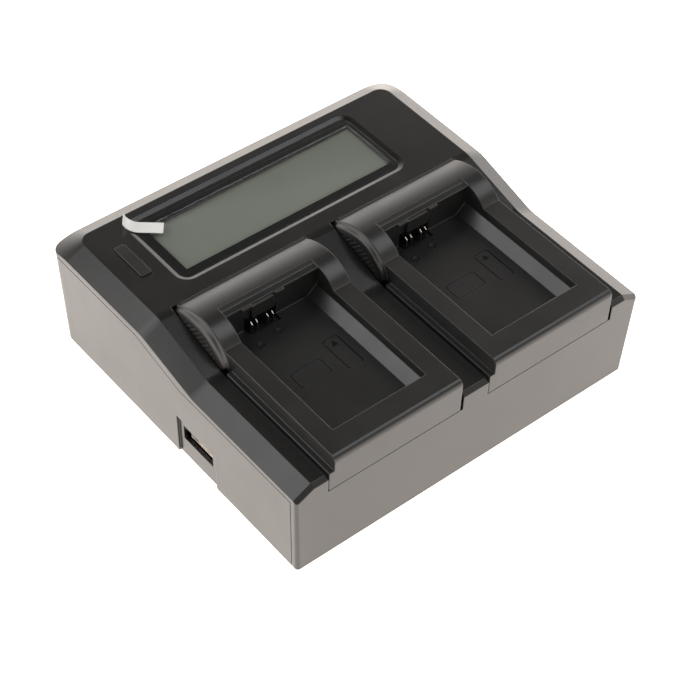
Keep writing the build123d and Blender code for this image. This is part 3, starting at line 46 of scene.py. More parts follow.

# The base shell: a thin moulding in dark warm plastic with a fine spark-eroded grain, open at the top and
# at the front. It carries everything inside. Its corners and seams are shaded as rounded and painted paler:
# a painted highlight along the edges, with some wear from handling.


def new_group(name, inputs, outputs):
    """An empty shader node group with float, colour and vector sockets."""
    group = bpy.data.node_groups.new(name, "ShaderNodeTree")
    kinds = {"f": "NodeSocketFloat", "c": "NodeSocketColor", "v": "NodeSocketVector"}
    for label, kind, value in inputs:
        socket = group.interface.new_socket(label, in_out="INPUT", socket_type=kinds[kind])
        if value is not None:
            socket.default_value = value
    for label, kind in outputs:
        group.interface.new_socket(label, in_out="OUTPUT", socket_type=kinds[kind])
    return group, group.nodes.new("NodeGroupInput"), group.nodes.new("NodeGroupOutput")


def add_node(tree, kind, settings=(), **values):
    """A node with attributes from settings and input values by socket name."""
    made = tree.nodes.new(kind)
    for attribute, value in dict(settings).items():
        setattr(made, attribute, value)
    for label, value in values.items():
        made.inputs[label.replace("_", " ")].default_value = value
    return made


def spark_grain_group():
    """Fine moulded grain: a height for the bump and a slow change of sheen."""
    group, given, out = new_group(
        "spark grain", [("Size", "f", 2600.0), ("Patches", "f", 60.0)], [("Height", "f"), ("Sheen", "f")]
    )
    place = add_node(group, "ShaderNodeTexCoord")
    fine = add_node(group, "ShaderNodeTexNoise", Detail=3.0, Roughness=0.6)
    cells = add_node(group, "ShaderNodeTexVoronoi")
    patches = add_node(group, "ShaderNodeTexNoise", Detail=3.0, Roughness=0.55)
    blend = add_node(group, "ShaderNodeMath", {"operation": "MULTIPLY_ADD"})
    blend.inputs[1].default_value = 0.5
    sheen = add_node(group, "ShaderNodeMapRange", From_Min=0.35, From_Max=0.65, To_Min=0.0, To_Max=1.0)
    link = group.links.new
    for texture in (fine, cells, patches):
        link(place.outputs["Object"], texture.inputs["Vector"])
    link(given.outputs["Size"], fine.inputs["Scale"])
    link(given.outputs["Size"], cells.inputs["Scale"])
    link(given.outputs["Patches"], patches.inputs["Scale"])
    link(cells.outputs["Distance"], blend.inputs[0])
    link(fine.outputs["Fac"], blend.inputs[2])
    link(blend.outputs[0], out.inputs["Height"])
    link(patches.outputs["Fac"], sheen.inputs["Value"])
    link(sheen.outputs["Result"], out.inputs["Sheen"])
    return group


def rounded_edge_group():
    """Where the edges are: the normal of a small rounding, and a mask broken up by noise."""
    group, given, out = new_group(
        "rounded edge", [("Round", "f", 0.0005), ("Breakup", "f", 900.0)], [("Mask", "f"), ("Normal", "v")]
    )
    rounded = add_node(group, "ShaderNodeBevel", {"samples": 6})
    face = add_node(group, "ShaderNodeNewGeometry")
    dot = add_node(group, "ShaderNodeVectorMath", {"operation": "DOT_PRODUCT"})
    near = add_node(group, "ShaderNodeMapRange", From_Min=0.999, From_Max=0.9, To_Min=0.0, To_Max=1.0)
    place = add_node(group, "ShaderNodeTexCoord")
    noise = add_node(group, "ShaderNodeTexNoise", Detail=4.0, Roughness=0.65)
    edge_tone = add_node(group, "ShaderNodeMapRange", From_Min=0.4, From_Max=0.62, To_Min=0.15, To_Max=1.0)
    times = add_node(group, "ShaderNodeMath", {"operation": "MULTIPLY"})
    link = group.links.new
    link(given.outputs["Round"], rounded.inputs["Radius"])
    link(rounded.outputs["Normal"], dot.inputs[0])
    link(face.outputs["Normal"], dot.inputs[1])
    link(dot.outputs["Value"], near.inputs["Value"])
    link(place.outputs["Object"], noise.inputs["Vector"])
    link(given.outputs["Breakup"], noise.inputs["Scale"])
    link(noise.outputs["Fac"], edge_tone.inputs["Value"])
    link(near.outputs["Result"], times.inputs[0])
    link(edge_tone.outputs["Result"], times.inputs[1])
    link(times.outputs[0], out.inputs["Mask"])
    link(rounded.outputs["Normal"], out.inputs["Normal"])
    return group


SPARK_GRAIN = spark_grain_group()
ROUNDED_EDGE = rounded_edge_group()


def finish_of(name, colour, edge_tone, smooth, rough, grain, depth, edge, metal=0.0, ior=1.5):
    """A finish with grain, a patchy sheen, and paler edges, for plastics, rubber and metals. On the dark plastics
    the paler edges are a painted highlight, with some wear.
    """
    material = bpy.data.materials.new(name)
    material.use_nodes = True
    tree = material.node_tree
    skin = tree.nodes["Principled BSDF"]
    skin.inputs["IOR"].default_value = ior
    skin.inputs["Metallic"].default_value = metal
    grained = add_node(tree, "ShaderNodeGroup", {"node_tree": SPARK_GRAIN}, Size=grain)
    edges = add_node(tree, "ShaderNodeGroup", {"node_tree": ROUNDED_EDGE}, Round=edge)
    # The paler edge colour, mixed in by the edge mask: on the dark plastics a painted highlight along the edges,
    # with some wear.
    tint = add_node(tree, "ShaderNodeMix", {"data_type": "RGBA"})
    tint.inputs[6].default_value = (*colour, 1)
    tint.inputs[7].default_value = (*edge_tone, 1)
    gloss = add_node(tree, "ShaderNodeMapRange", To_Min=smooth, To_Max=rough)
    bump = add_node(tree, "ShaderNodeBump", Strength=0.35, Distance=depth)
    link = tree.links.new
    link(edges.outputs["Mask"], tint.inputs[0])
    link(tint.outputs[2], skin.inputs["Base Color"])
    link(grained.outputs["Sheen"], gloss.inputs["Value"])
    link(gloss.outputs["Result"], skin.inputs["Roughness"])
    link(grained.outputs["Height"], bump.inputs["Height"])
    link(edges.outputs["Normal"], bump.inputs["Normal"])
    link(bump.outputs["Normal"], skin.inputs["Normal"])
    return material


def moulded_plastic(
    name, colour, edge_tone, smooth=0.28, rough=0.36, grain=2600.0, depth=0.00003, edge=0.0004, ior=1.55
):
    """Moulded plastic with a satin, finely eroded face, and paler edges that are a painted highlight with some wear.
    """
    return finish_of(name, colour, edge_tone, smooth, rough, grain, depth, edge, 0.0, ior)


def dress(material, *names):
    """Gives CAD nodes their finish."""
    for name in names:
        for spot in node[name].material_slots:
            spot.material = material


# Graphite and its paler edge colour: a painted highlight along the edges, with some wear.
GRAPHITE, GRAPHITE_EDGE_WEAR_AND_HIGHLIGHT = (0.0082, 0.0079, 0.0075), (0.03, 0.028, 0.026)
housing_plastic = moulded_plastic("graphite housing", GRAPHITE, GRAPHITE_EDGE_WEAR_AND_HIGHLIGHT, 0.2, 0.27)
dress(housing_plastic, "base_shell")

# The feet: four soft rubber discs pressed into shallow round recesses under the corners of the case. Their
# faces are dull, a little dusty and polished at the rim where they grip the table.
foot_rubber = finish_of(
    "foot rubber", (0.016, 0.016, 0.017), (0.06, 0.058, 0.055), 0.62, 0.85, 1500.0, 0.00006, 0.0003
)
dress(foot_rubber, "rubber_feet")

# The main board: glass-fibre laminate under green solder mask, whose copper tracks stand out a little
# paler. Four pan-head screws hold it on the posts of the base.


def node_of(tree, kind):
    """The only node of a kind in a finish."""
    return next(made for made in tree.nodes if made.type == kind)


def brick_colours(bricks, first, second, mortar, width):
    """Sets the colours of a brick pattern and the width of its joints."""
    for label, colour in (("Color1", first), ("Color2", second), ("Mortar", mortar)):
        bricks.inputs[label].default_value = (*colour, 1)
    bricks.inputs["Mortar Size"].default_value = width


def board_lacquer(name):
    """Green solder mask over a maze of tracks, with the bare laminate's colour at the cut edges."""
    mask_green, laminate = (0.012, 0.085, 0.035), (0.32, 0.26, 0.13)
    material = finish_of(name, mask_green, laminate, 0.22, 0.34, 3000.0, 0.00001, 0.00012)
    tree = material.node_tree
    place = add_node(tree, "ShaderNodeTexCoord")
    maze = {"offset": 0.37, "squash": 1.6, "squash_frequency": 3}
    tracks = add_node(tree, "ShaderNodeTexBrick", maze, Scale=160.0)
    brick_colours(tracks, mask_green, (0.016, 0.105, 0.042), (0.05, 0.2, 0.075), 0.03)
    tree.links.new(place.outputs["Object"], tracks.inputs["Vector"])
    tree.links.new(tracks.outputs["Color"], node_of(tree, "MIX").inputs[6])
    tree.links.new(tracks.outputs["Fac"], node_of(tree, "BUMP").inputs["Height"])
    return material


green_board = board_lacquer("green board")
dress(green_board, "main_board")


RING_STEPS = 32


def add_ring(form, spot, radius, height):
    """A ring of points round an upright axis. The radius may be a function of the step's number."""
    points = []
    for step in range(RING_STEPS):
        turn = 2 * math.pi * step / RING_STEPS
        reach = radius(step) if callable(radius) else radius
        points.append(form.verts.new((spot[0] + reach * math.cos(turn), spot[1] + reach * math.sin(turn), height)))
    return points


def join_rings(form, lower, upper):
    """A band of four-sided faces between two rings."""
    count = len(lower)
    for step in range(count):
        following = (step + 1) % count
        form.faces.new((lower[step], lower[following], upper[following], upper[step]))


def join_all(form, rings, capped=True):
    """Bands between neighbouring rings, and a face over each end."""
    for lower, upper in zip(rings, rings[1:]):
        join_rings(form, lower, upper)
    if capped:
        form.faces.new(rings[0])
        form.faces.new(rings[-1])


def cross_screw(form, spot, face, way, head, shank):
    """A pan-head screw with a cross recess and a rolled thread. The head's face lies at the height face."""
    head_radius, head_height = head
    shank_radius, length = shank
    pitch, core = shank_radius * 0.55, 0.84
    arm, half = head_radius * 0.6, head_radius * 0.13
    quarter = [(arm, -half), (arm, half), (half, half)]
    outline = []
    for turn in range(4):
        cosine, sine = round(math.cos(turn * math.pi / 2)), round(math.sin(turn * math.pi / 2))
        outline += [(x * cosine - y * sine, x * sine + y * cosine) for x, y in quarter]
    rim = [form.verts.new((spot[0] + x, spot[1] + y, face)) for x, y in outline]
    sunk = [
        form.verts.new((spot[0] + 0.7 * x, spot[1] + 0.7 * y, face + way * 0.6 * head_height)) for x, y in outline
    ]
    crown = add_ring(form, spot, head_radius * 0.8, face)
    edges = []
    for loop in (rim, crown):
        edges += [form.edges.new((loop[step], loop[(step + 1) % len(loop)])) for step in range(len(loop))]
    bmesh.ops.triangle_fill(form, use_beauty=True, edges=edges)
    join_rings(form, rim, sunk)
    form.faces.new(sunk)
    rings = [crown]
    for share, depth in ((0.93, 0.14), (1.0, 0.42), (1.0, 1.0)):
        rings.append(add_ring(form, spot, head_radius * share, face + way * depth * head_height))
    rings.append(add_ring(form, spot, shank_radius * 0.85, face + way * head_height))
    turns = max(4, int((length - head_height) / pitch * 4))
    for count in range(1, turns + 1):
        depth = head_height + (length - head_height) * count / turns

        def ridge(step):
            return shank_radius * (core + (1 - core) * abs(2 * ((depth / pitch - step / RING_STEPS) % 1) - 1))

        rings.append(add_ring(form, spot, ridge if count < turns else shank_radius * 0.6, face + way * depth))
    join_all(form, rings, capped=False)
    form.faces.new(rings[-1])


def add_piece(name, form, material, body, replaced=None):
    """Turns a worked-out form into a piece that rides on a body and may stand for a CAD node."""
    bmesh.ops.recalc_face_normals(form, faces=form.faces)
    mesh = bpy.data.meshes.new(name)
    form.to_mesh(mesh)
    form.free()
    for polygon in mesh.polygons:
        polygon.use_smooth = True
    mesh.set_sharp_from_angle(angle=math.radians(32))
    mesh.materials.append(material)
    piece = bpy.data.objects.new(name, mesh)
    bpy.context.collection.objects.link(piece)
    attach(piece, body)
    if replaced:
        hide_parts(replaced)
    return piece


def screw_set(name, spots, face, way, head, shank, material, body, replaced):
    """Equal cross-head screws at several places, as one piece."""
    form = bmesh.new()
    for spot in spots:
        cross_screw(form, spot, face, way, head, shank)
    return add_piece(name, form, material, body, replaced)


def corner_spots(name, radius):
    """The four places of round parts that stand at the corners of a node's box."""
    low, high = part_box(name)
    return [(x, y) for x in (low.x + radius, high.x - radius) for y in (low.y + radius, high.y - radius)]


zinc = finish_of("zinc-plated steel", (0.62, 0.62, 0.6), (0.8, 0.79, 0.76), 0.22, 0.4, 4000.0, 0.000006, 0.0001, 1.0)
PAN_HEAD, PAN_SHANK_RADIUS = (0.002, 0.0014), 0.001
BOARD_SCREW_SPOTS = [(-0.0465, -0.01899), (0.052, -0.01899), (-0.0595, 0.0455), (0.052, 0.0455)]
BOARD_SCREW_TOP, BOARD_SCREW_LENGTH = 0.0107, 0.0068
screw_set(
    "board_pan_screws", BOARD_SCREW_SPOTS, BOARD_SCREW_TOP, -1, PAN_HEAD, (PAN_SHANK_RADIUS, BOARD_SCREW_LENGTH),
    zinc, "housing", "board_screws",
)

# The mains inlet: a black nylon socket soldered at the board's rear edge, with two round nickel-plated
# pins that run through its back wall and down into the board.
nylon = moulded_plastic("black nylon", (0.011, 0.011, 0.012), (0.035, 0.035, 0.036), 0.34, 0.46, 1800.0)
dress(nylon, "ac_inlet")
nickel = finish_of("nickel plate", (0.66, 0.63, 0.57), (0.82, 0.8, 0.75), 0.14, 0.26, 5000.0, 0.000004, 0.00012, 1.0)
dress(nickel, "inlet_pins", "fuse_clips")

# The supply on the board: glass fuse in its clips, line choke, input capacitor, ferrite transformer with
# its taped winding, finned heat sink with the transistor, output capacitors, chips and connectors.


def clear_finish(name, colour, smooth, rough, ior, depth=0.000001):
    """Clear plastic or glass with faint hairlines. It lets lamp light through to what lies below."""
    material = bpy.data.materials.new(name)
    material.use_nodes = True
    tree = material.node_tree
    skin = tree.nodes["Principled BSDF"]
    skin.inputs["Base Color"].default_value = (*colour, 1)
    skin.inputs["IOR"].default_value = ior
    skin.inputs["Transmission Weight"].default_value = 1.0
    grained = add_node(tree, "ShaderNodeGroup", {"node_tree": SPARK_GRAIN}, Size=900.0)
    gloss = add_node(tree, "ShaderNodeMapRange", To_Min=smooth, To_Max=rough)
    bump = add_node(tree, "ShaderNodeBump", Strength=0.2, Distance=depth)
    path = add_node(tree, "ShaderNodeLightPath")
    through = add_node(tree, "ShaderNodeBsdfTransparent", Color=(*colour, 1))
    choice = add_node(tree, "ShaderNodeMixShader")
    link = tree.links.new
    link(grained.outputs["Sheen"], gloss.inputs["Value"])
    link(gloss.outputs["Result"], skin.inputs["Roughness"])
    link(grained.outputs["Height"], bump.inputs["Height"])
    link(bump.outputs["Normal"], skin.inputs["Normal"])
    link(path.outputs["Is Shadow Ray"], choice.inputs[0])
    link(skin.outputs[0], choice.inputs[1])
    link(through.outputs[0], choice.inputs[2])
    link(choice.outputs[0], tree.nodes["Material Output"].inputs["Surface"])
    return material


fuse_glass = clear_finish("fuse glass", (0.93, 0.95, 0.95), 0.02, 0.06, 1.5)
dress(fuse_glass, "fuse")
ferrite = finish_of("ferrite", (0.035, 0.034, 0.036), (0.1, 0.098, 0.096), 0.45, 0.7, 1400.0, 0.00005, 0.0003)
dress(ferrite, "transformer_core", "line_choke")
sleeve = moulded_plastic("capacitor sleeve", (0.012, 0.014, 0.03), (0.06, 0.06, 0.08), 0.16, 0.3, 900.0)
dress(sleeve, "input_capacitor", "output_capacitors")
aluminium = finish_of(
    "extruded aluminium", (0.56, 0.56, 0.57), (0.78, 0.78, 0.79), 0.28, 0.44, 2200.0, 0.00001, 0.0002, 1.0
)
dress(aluminium, "heat_sink")
epoxy = moulded_plastic("black epoxy", (0.014, 0.014, 0.015), (0.05, 0.05, 0.05), 0.4, 0.6, 2400.0, 0.00005, 0.00015)
dress(epoxy, "power_transistor", "controller_chips")
header_nylon = moulded_plastic("cream nylon", (0.66, 0.58, 0.42), (0.75, 0.7, 0.58), 0.3, 0.42, 1500.0)
dress(header_nylon, "cable_connectors")


def ribbed(tree, bands, scale):
    """Puts bands side by side in place of the grain of a finish."""
    place = add_node(tree, "ShaderNodeTexCoord")
    ribs = add_node(tree, "ShaderNodeTexWave", bands, Scale=scale)
    tree.links.new(place.outputs["Object"], ribs.inputs["Vector"])
    tree.links.new(ribs.outputs["Fac"], node_of(tree, "BUMP").inputs["Height"])


def wound_tape(name):
    """Yellow tape wound round the coil in overlapping turns, with a low step at each edge."""
    material = moulded_plastic(name, (0.68, 0.42, 0.03), (0.8, 0.6, 0.2), 0.2, 0.32, 1200.0, depth=0.00012)
    ribbed(material.node_tree, {"bands_direction": "Z", "wave_profile": "SAW"}, 95.0)
    return material


dress(wound_tape("winding tape"), "transformer_winding")


def flat_cable(name):
    """Pale flat cable: side by side cores whose round backs show as ribs along the run."""
    material = moulded_plastic(name, (0.62, 0.62, 0.6), (0.72, 0.72, 0.7), 0.34, 0.48, 1600.0, depth=0.0003)
    ribbed(material.node_tree, {"bands_direction": "X"}, 250.0)
    return material


dress(flat_cable("flat cable"), "ribbon_cable", "left_bay_cable", "right_bay_cable")

# The USB outlet: a stamped and plated steel shell behind the left wall, a cream tongue in it, and four
# gilt contact strips on the tongue.
shell_plate = finish_of(
    "tinned steel", (0.74, 0.7, 0.66), (0.85, 0.82, 0.78), 0.16, 0.3, 3000.0, 0.000005, 0.00015, 1.0
)
dress(shell_plate, "usb_socket_shell")
tongue_plastic = moulded_plastic("cream tongue", (0.72, 0.64, 0.58), (0.8, 0.74, 0.7), 0.28, 0.4, 1500.0)
dress(tongue_plastic, "usb_tongue")
gilt = finish_of("gilt contacts", (0.85, 0.62, 0.28), (0.92, 0.76, 0.45), 0.14, 0.26, 5000.0, 0.000004, 0.0001, 1.0)
dress(gilt, "usb_contacts")

# Under each bay: four gilt spring pins in a black carrier, which meet the pads of the battery plate, and
# the flat cable that joins them to the main board.
dress(nylon, "left_pin_carrier", "right_pin_carrier")
dress(gilt, "left_spring_pins", "right_spring_pins")

# The top cover: deck, sloping rim, ramp, bays and front apron in one moulding of the same plastic as the
# base. Its lip drops inside the base's walls, and the case screws pull it down from below.
dress(housing_plastic, "top_cover")

# The display: board with its switch, backlight, liquid crystal panel, black frame, clear window, and on it
# the protective film with a white pull tab that still sticks to its corner.
dress(board_lacquer("display board"), "display_board")
display_screw_low, display_screw_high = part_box("display_screws")
screw_set(
    "display_pan_screws", corner_spots("display_screws", PAN_HEAD[0]), display_screw_low.z, 1, PAN_HEAD,
    (PAN_SHANK_RADIUS, display_screw_high.z - display_screw_low.z), zinc, "housing", "display_screws",
)
dress(epoxy, "tact_switch")
plunger_plastic = moulded_plastic("plunger plastic", (0.016, 0.016, 0.017), (0.05, 0.05, 0.05), 0.35, 0.5, 1700.0)
dress(plunger_plastic, "switch_plunger")
diffuser = moulded_plastic("backlight diffuser", (0.78, 0.79, 0.76), (0.85, 0.85, 0.82), 0.4, 0.55, 800.0)
dress(diffuser, "backlight_panel")


def crystal_panel(name):
    """Switched-off liquid crystal: grey-green, with a very faint cell grid under its satin polariser."""
    grey_green = (0.142, 0.152, 0.128)
    material = moulded_plastic(name, grey_green, (0.15, 0.16, 0.14), 0.3, 0.38, 500.0, 0.000004)
    tree = material.node_tree
    place = add_node(tree, "ShaderNodeTexCoord")
    cells = add_node(tree, "ShaderNodeTexBrick", {"offset": 0.0}, Scale=420.0)
    brick_colours(cells, grey_green, (0.14, 0.15, 0.126), (0.136, 0.146, 0.122), 0.02)
    tree.links.new(place.outputs["Object"], cells.inputs["Vector"])
    tree.links.new(cells.outputs["Color"], node_of(tree, "MIX").inputs[6])
    return material


def rounded_outline(low, high, corner, steps=5):
    """The points of a rectangle with round corners, anticlockwise."""
    points = []
    middles = (
        (high[0] - corner, low[1] + corner, -90), (high[0] - corner, high[1] - corner, 0),
        (low[0] + corner, high[1] - corner, 90), (low[0] + corner, low[1] + corner, 180),
    )
    for x, y, start in middles:
        for step in range(steps + 1):
            turn = math.radians(start + 90 * step / steps)
            points.append((x + corner * math.cos(turn), y + corner * math.sin(turn)))
    return points


FILM_GAP, FILM_SHEET, FILM_CURL = 0.00003, 0.0001, 0.00026
FILM_CORNER, FILM_BORDER, CURL_WIDTH = 0.0006, 0.0005, 0.0004


def window_film(name, material):
    """The film: a thin sheet a hair above the window, whose rear edge has come up and catches the light."""
    low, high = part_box("screen_film")
    top = FILM_GAP + FILM_SHEET
    form = bmesh.new()
    loops = []
    for inset, level in ((0, FILM_GAP), (FILM_BORDER, FILM_GAP), (FILM_BORDER, top), (0, top)):
        loop = []
        for x, y in rounded_outline(
            (low.x + inset, low.y + inset), (high.x - inset, high.y - inset), FILM_CORNER
        ):
            curl = FILM_CURL if inset == 0 and y > high.y - CURL_WIDTH else 0.0
            loop.append(form.verts.new((x, y, low.z + level + curl)))
        loops.append(loop)
    outer_low, inner_low, inner_top, outer_top = loops
    join_rings(form, outer_low, inner_low)
    join_rings(form, inner_top, outer_top)
    join_rings(form, outer_top, outer_low)
    form.faces.new(inner_low)
    form.faces.new(inner_top)
    return add_piece(name, form, material, "housing", "screen_film")


dress(crystal_panel("crystal panel"), "lcd_panel")
frame_gloss = moulded_plastic("glossy frame", (0.008, 0.008, 0.009), (0.02, 0.02, 0.02), 0.12, 0.2, 700.0, 0.000004)
dress(frame_gloss, "display_bezel")
dress(clear_finish("clear window", (0.97, 0.98, 0.97), 0.01, 0.03, 1.49), "display_window")
window_film("protective_film", clear_finish("film", (0.96, 0.97, 0.96), 0.03, 0.07, 1.4))
tab_film = moulded_plastic("white tab film", (0.78, 0.78, 0.77), (0.85, 0.85, 0.84), 0.3, 0.42, 900.0, 0.00001)
dress(tab_film, "film_pull_tab")

# The mode button: a long rounded key of satin plastic that stands a hair above the deck. It slides in its
# slot and presses on the plunger of the switch below.
button_plastic = moulded_plastic("button plastic", (0.009, 0.009, 0.009), (0.03, 0.029, 0.028), 0.3, 0.38)
dress(button_plastic, "mode_button")

# The case screws: four zinc-plated steel screws with cross recesses. Each is sunk deep in a round hole of
# the base and runs up into a post of the top cover.
case_screw_low, case_screw_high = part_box("case_screws")
CASE_SCREW_SPOTS = [(-0.052, -0.052), (0.052, -0.052), (-0.0625, 0.056), (0.0625, 0.056)]
CASE_SCREW_HEAD, CASE_SHANK_RADIUS = (0.0028, 0.002), 0.0015
screw_set(
    "case_cross_screws", CASE_SCREW_SPOTS, case_screw_low.z, 1, CASE_SCREW_HEAD,
    (CASE_SHANK_RADIUS, case_screw_high.z - case_screw_low.z), zinc, "housing", "case_screws",
)

# The battery plates: two equal mouldings, each with a battery seat, a hood over the contacts and an ear
# with a ribbed thumb grip. A cover, a small board, gilt pads and plated blades close each from below.
# Plate black and its paler edge colour: a painted highlight along the edges, with some wear.
PLATE_BLACK, BLACK_EDGE_WEAR_AND_HIGHLIGHT = (0.0105, 0.0102, 0.01), (0.03, 0.029, 0.027)
plate_plastic = moulded_plastic("plate plastic", PLATE_BLACK, BLACK_EDGE_WEAR_AND_HIGHLIGHT, 0.28, 0.35, edge=0.0005)
mark_plastic = moulded_plastic("plate marks", PLATE_BLACK, BLACK_EDGE_WEAR_AND_HIGHLIGHT, 0.26, 0.33, depth=0.00001, edge=0.00005)
# The frames and arrow on the seat floor are darker and less glossy than the plate: painted shade standing for the
# shadow in narrow grooves.
groove_shade_plastic = moulded_plastic(
    "marks with painted shade", (0.003, 0.003, 0.0028), (0.01, 0.01, 0.01), 0.16, 0.22, depth=0.00001, edge=0.00003, ior=1.36
)
dress(plate_plastic, "left_battery_plate", "right_battery_plate", "left_plate_cover", "right_plate_cover")
dress(nylon, "left_contact_holder", "right_contact_holder")
blade_metal = finish_of(
    "plated blades", (0.42, 0.4, 0.37), (0.6, 0.58, 0.55), 0.24, 0.34, 5000.0, 0.000004, 0.00008, 1.0
)
dress(blade_metal, "left_plate_contacts", "right_plate_contacts")
dress(green_board, "left_plate_board", "right_plate_board")

PLATE_MIDDLES = {"left": -0.03155, "right": 0.03155}
SEAT_FLOOR = 0.0377
BEDDING = -0.00005
HUMP_CREST = (0.0015, 0.0493)
FRONT_ARC, REAR_ARC = 0.01416, 0.02203
HUMP_FOOT, HUMP_RUN = 0.0387, 0.0136


def hump_point(share, drop):
    """A point on the hump's side view, from its front foot (-1) over the crest (0) to its rear end (1)."""
    arc = (FRONT_ARC if share < 0 else REAR_ARC) - drop
    centre = HUMP_CREST[1] - drop - arc
    if share < 0:
        reach = math.acos(max(-1.0, min(1.0, (HUMP_FOOT - centre) / arc)))
    else:
        reach = math.asin(HUMP_RUN / arc)
    return HUMP_CREST[0] + arc * math.sin(share * reach), centre + arc * math.cos(share * reach)


FAIRING_SECTION = (
    (-24.25, 0.02), (-24.5, 0.28), (-24.72, 0.7), (-24.98, 1.02), (-25.4, 1.2), (-25.75, 1.5), (-26.0, 2.1),
    (-26.13, 2.7), (-26.19, 3.15), (-26.0, 3.9), (-24.2, 3.9), (-24.2, 0.3),
)
FAIRING_FRONT_STEPS, FAIRING_REAR_STEPS = 24, 20


def ear_fairing(form, middle):
    """The soft fall from the hump's left end to the ear: an edge, a shallow valley and a broad round rim."""
    loops = []
    for step in range(-FAIRING_FRONT_STEPS, FAIRING_REAR_STEPS + 1):
        share = step / (FAIRING_FRONT_STEPS if step < 0 else FAIRING_REAR_STEPS)
        loop = []
        for across, drop in FAIRING_SECTION:
            y, z = hump_point(share, drop / 1000)
            loop.append(form.verts.new((middle + across / 1000, y, z)))
        loops.append(loop)
    join_all(form, loops)


GRIP_FACE, GRIP_BORDER = -0.0262, 0.0033
GRIP_ROWS, ROW_SPACING, DOTS_IN_ROW, DOT_SPACING = range(-4, 6), 0.00205, 8, 0.00072
GRIP_START = (0.00145, 0.0405)
DOT_LENGTH, DOT_WIDTH, DOT_STEPS = 0.00046, 0.00024, 10
HIGH_STAND, BAY_STAND = 0.00034, 0.0002


def deck_line(y):
    """The height of the deck beside the plate."""
    return 0.0376 + 0.2524 * (y + 0.0173)


def grip_spots():
    """Where the dots of the thumb grip stand: sloping rows across the ear's face, lower inside the bay."""
    spots = []
    for row in GRIP_ROWS:
        for dot in range(DOTS_IN_ROW):
            z = GRIP_START[1] + DOT_SPACING * dot
            y = GRIP_START[0] + ROW_SPACING * row - DOT_SPACING * dot
            reach = (FRONT_ARC if y < HUMP_CREST[0] else REAR_ARC) - GRIP_BORDER
            inside = reach ** 2 - (y - HUMP_CREST[0]) ** 2
            top = HUMP_CREST[1] - GRIP_BORDER - reach + math.sqrt(max(inside, 0.0))
            if inside > 0 and deck_line(y) - 0.0014 < z < top - 0.0003:
                spots.append((HIGH_STAND if z > deck_line(y) + 0.0002 else BAY_STAND, y, z))
    return spots


def grip_dots(form, middle):
    """Low oval domes in sloping rows, one for each spot."""
    slope = math.sqrt(0.5)
    for stand, y, z in grip_spots():
        rings = []
        for share, height in ((1.0, 2 * BEDDING), (0.86, 0.55 * stand), (0.5, stand)):
            ring = []
            for step in range(DOT_STEPS):
                turn = 2 * math.pi * step / DOT_STEPS
                along, across = DOT_LENGTH * share * math.cos(turn), DOT_WIDTH * share * math.sin(turn)
                up, back = slope * (across + along), slope * (across - along)
                ring.append(form.verts.new((middle + GRIP_FACE - height, y + back, z + up)))
            rings.append(ring)
        join_all(form, rings)


LEDGE_SECTION = (
    (13.25, 45.5), (13.3, 45.98), (13.4, 46.04), (14.15, 46.0), (14.6, 45.5), (14.7, 44.8), (13.9, 45.0)
)
LEDGE_ENDS = (-0.0241, 0.0251)


def rear_ledge(form, middle):
    """A narrow flat ledge along the hump's rear end, with a bevel that catches the light."""
    join_all(form, [
        [form.verts.new((middle + end, y / 1000, z / 1000)) for y, z in LEDGE_SECTION] for end in LEDGE_ENDS
    ])


FRAMES = (((-0.01105, -0.0312), (0.00125, -0.024)), ((0.00535, -0.0335), (0.0115, -0.0192)))
FRAME_CORNER, FRAME_WIDTH, FRAME_RISE, FRAME_BEDDING = 0.0013, 0.00055, 0.00005, -0.00002
ARROW_TIP, ARROW_LENGTH, ARROW_RISE = (0.0084, -0.0207), 0.0022, 0.00011


def raised_frame(form, low, high):
    """A narrow raised line round a rectangle on the seat's floor."""
    loops = []
    for share, height in ((0, FRAME_BEDDING), (0.3, FRAME_RISE), (0.7, FRAME_RISE), (1, FRAME_BEDDING)):
        inset = share * FRAME_WIDTH
        outline = rounded_outline(
            (low[0] + inset, low[1] + inset), (high[0] - inset, high[1] - inset), FRAME_CORNER - inset
        )
        loops.append([form.verts.new((x, y, SEAT_FLOOR + height)) for x, y in outline])
    join_all(form, loops + loops[:1], capped=False)


def raised_arrow(form, tip):
    """A small raised arrow head on the seat's floor that points to the contacts."""
    half = ARROW_LENGTH / 2
    corners = (tip, (tip[0] - half, tip[1] - ARROW_LENGTH), (tip[0] + half, tip[1] - ARROW_LENGTH))
    join_all(form, [
        [form.verts.new((x, y, SEAT_FLOOR + height)) for x, y in corners] for height in (BEDDING, ARROW_RISE)
    ])


PIP_SPOTS = ((-0.00975, -0.0091), (-0.00165, -0.0078))
PIP_SECTION = ((0.0017, BEDDING), (0.0016, 0.00016), (0.00135, 0.0002), (0.001, 0.00006), (0.0005, 0.00002))


def ejector_pip(form, spot):
    """A low round pip with a dished top, left where a pin pushed the moulding out."""
    join_all(form, [add_ring(form, spot, radius, SEAT_FLOOR + height) for radius, height in PIP_SECTION])


PLATE_SCREW_HEAD, PLATE_SHANK_RADIUS = (0.0018, 0.0009), 0.001

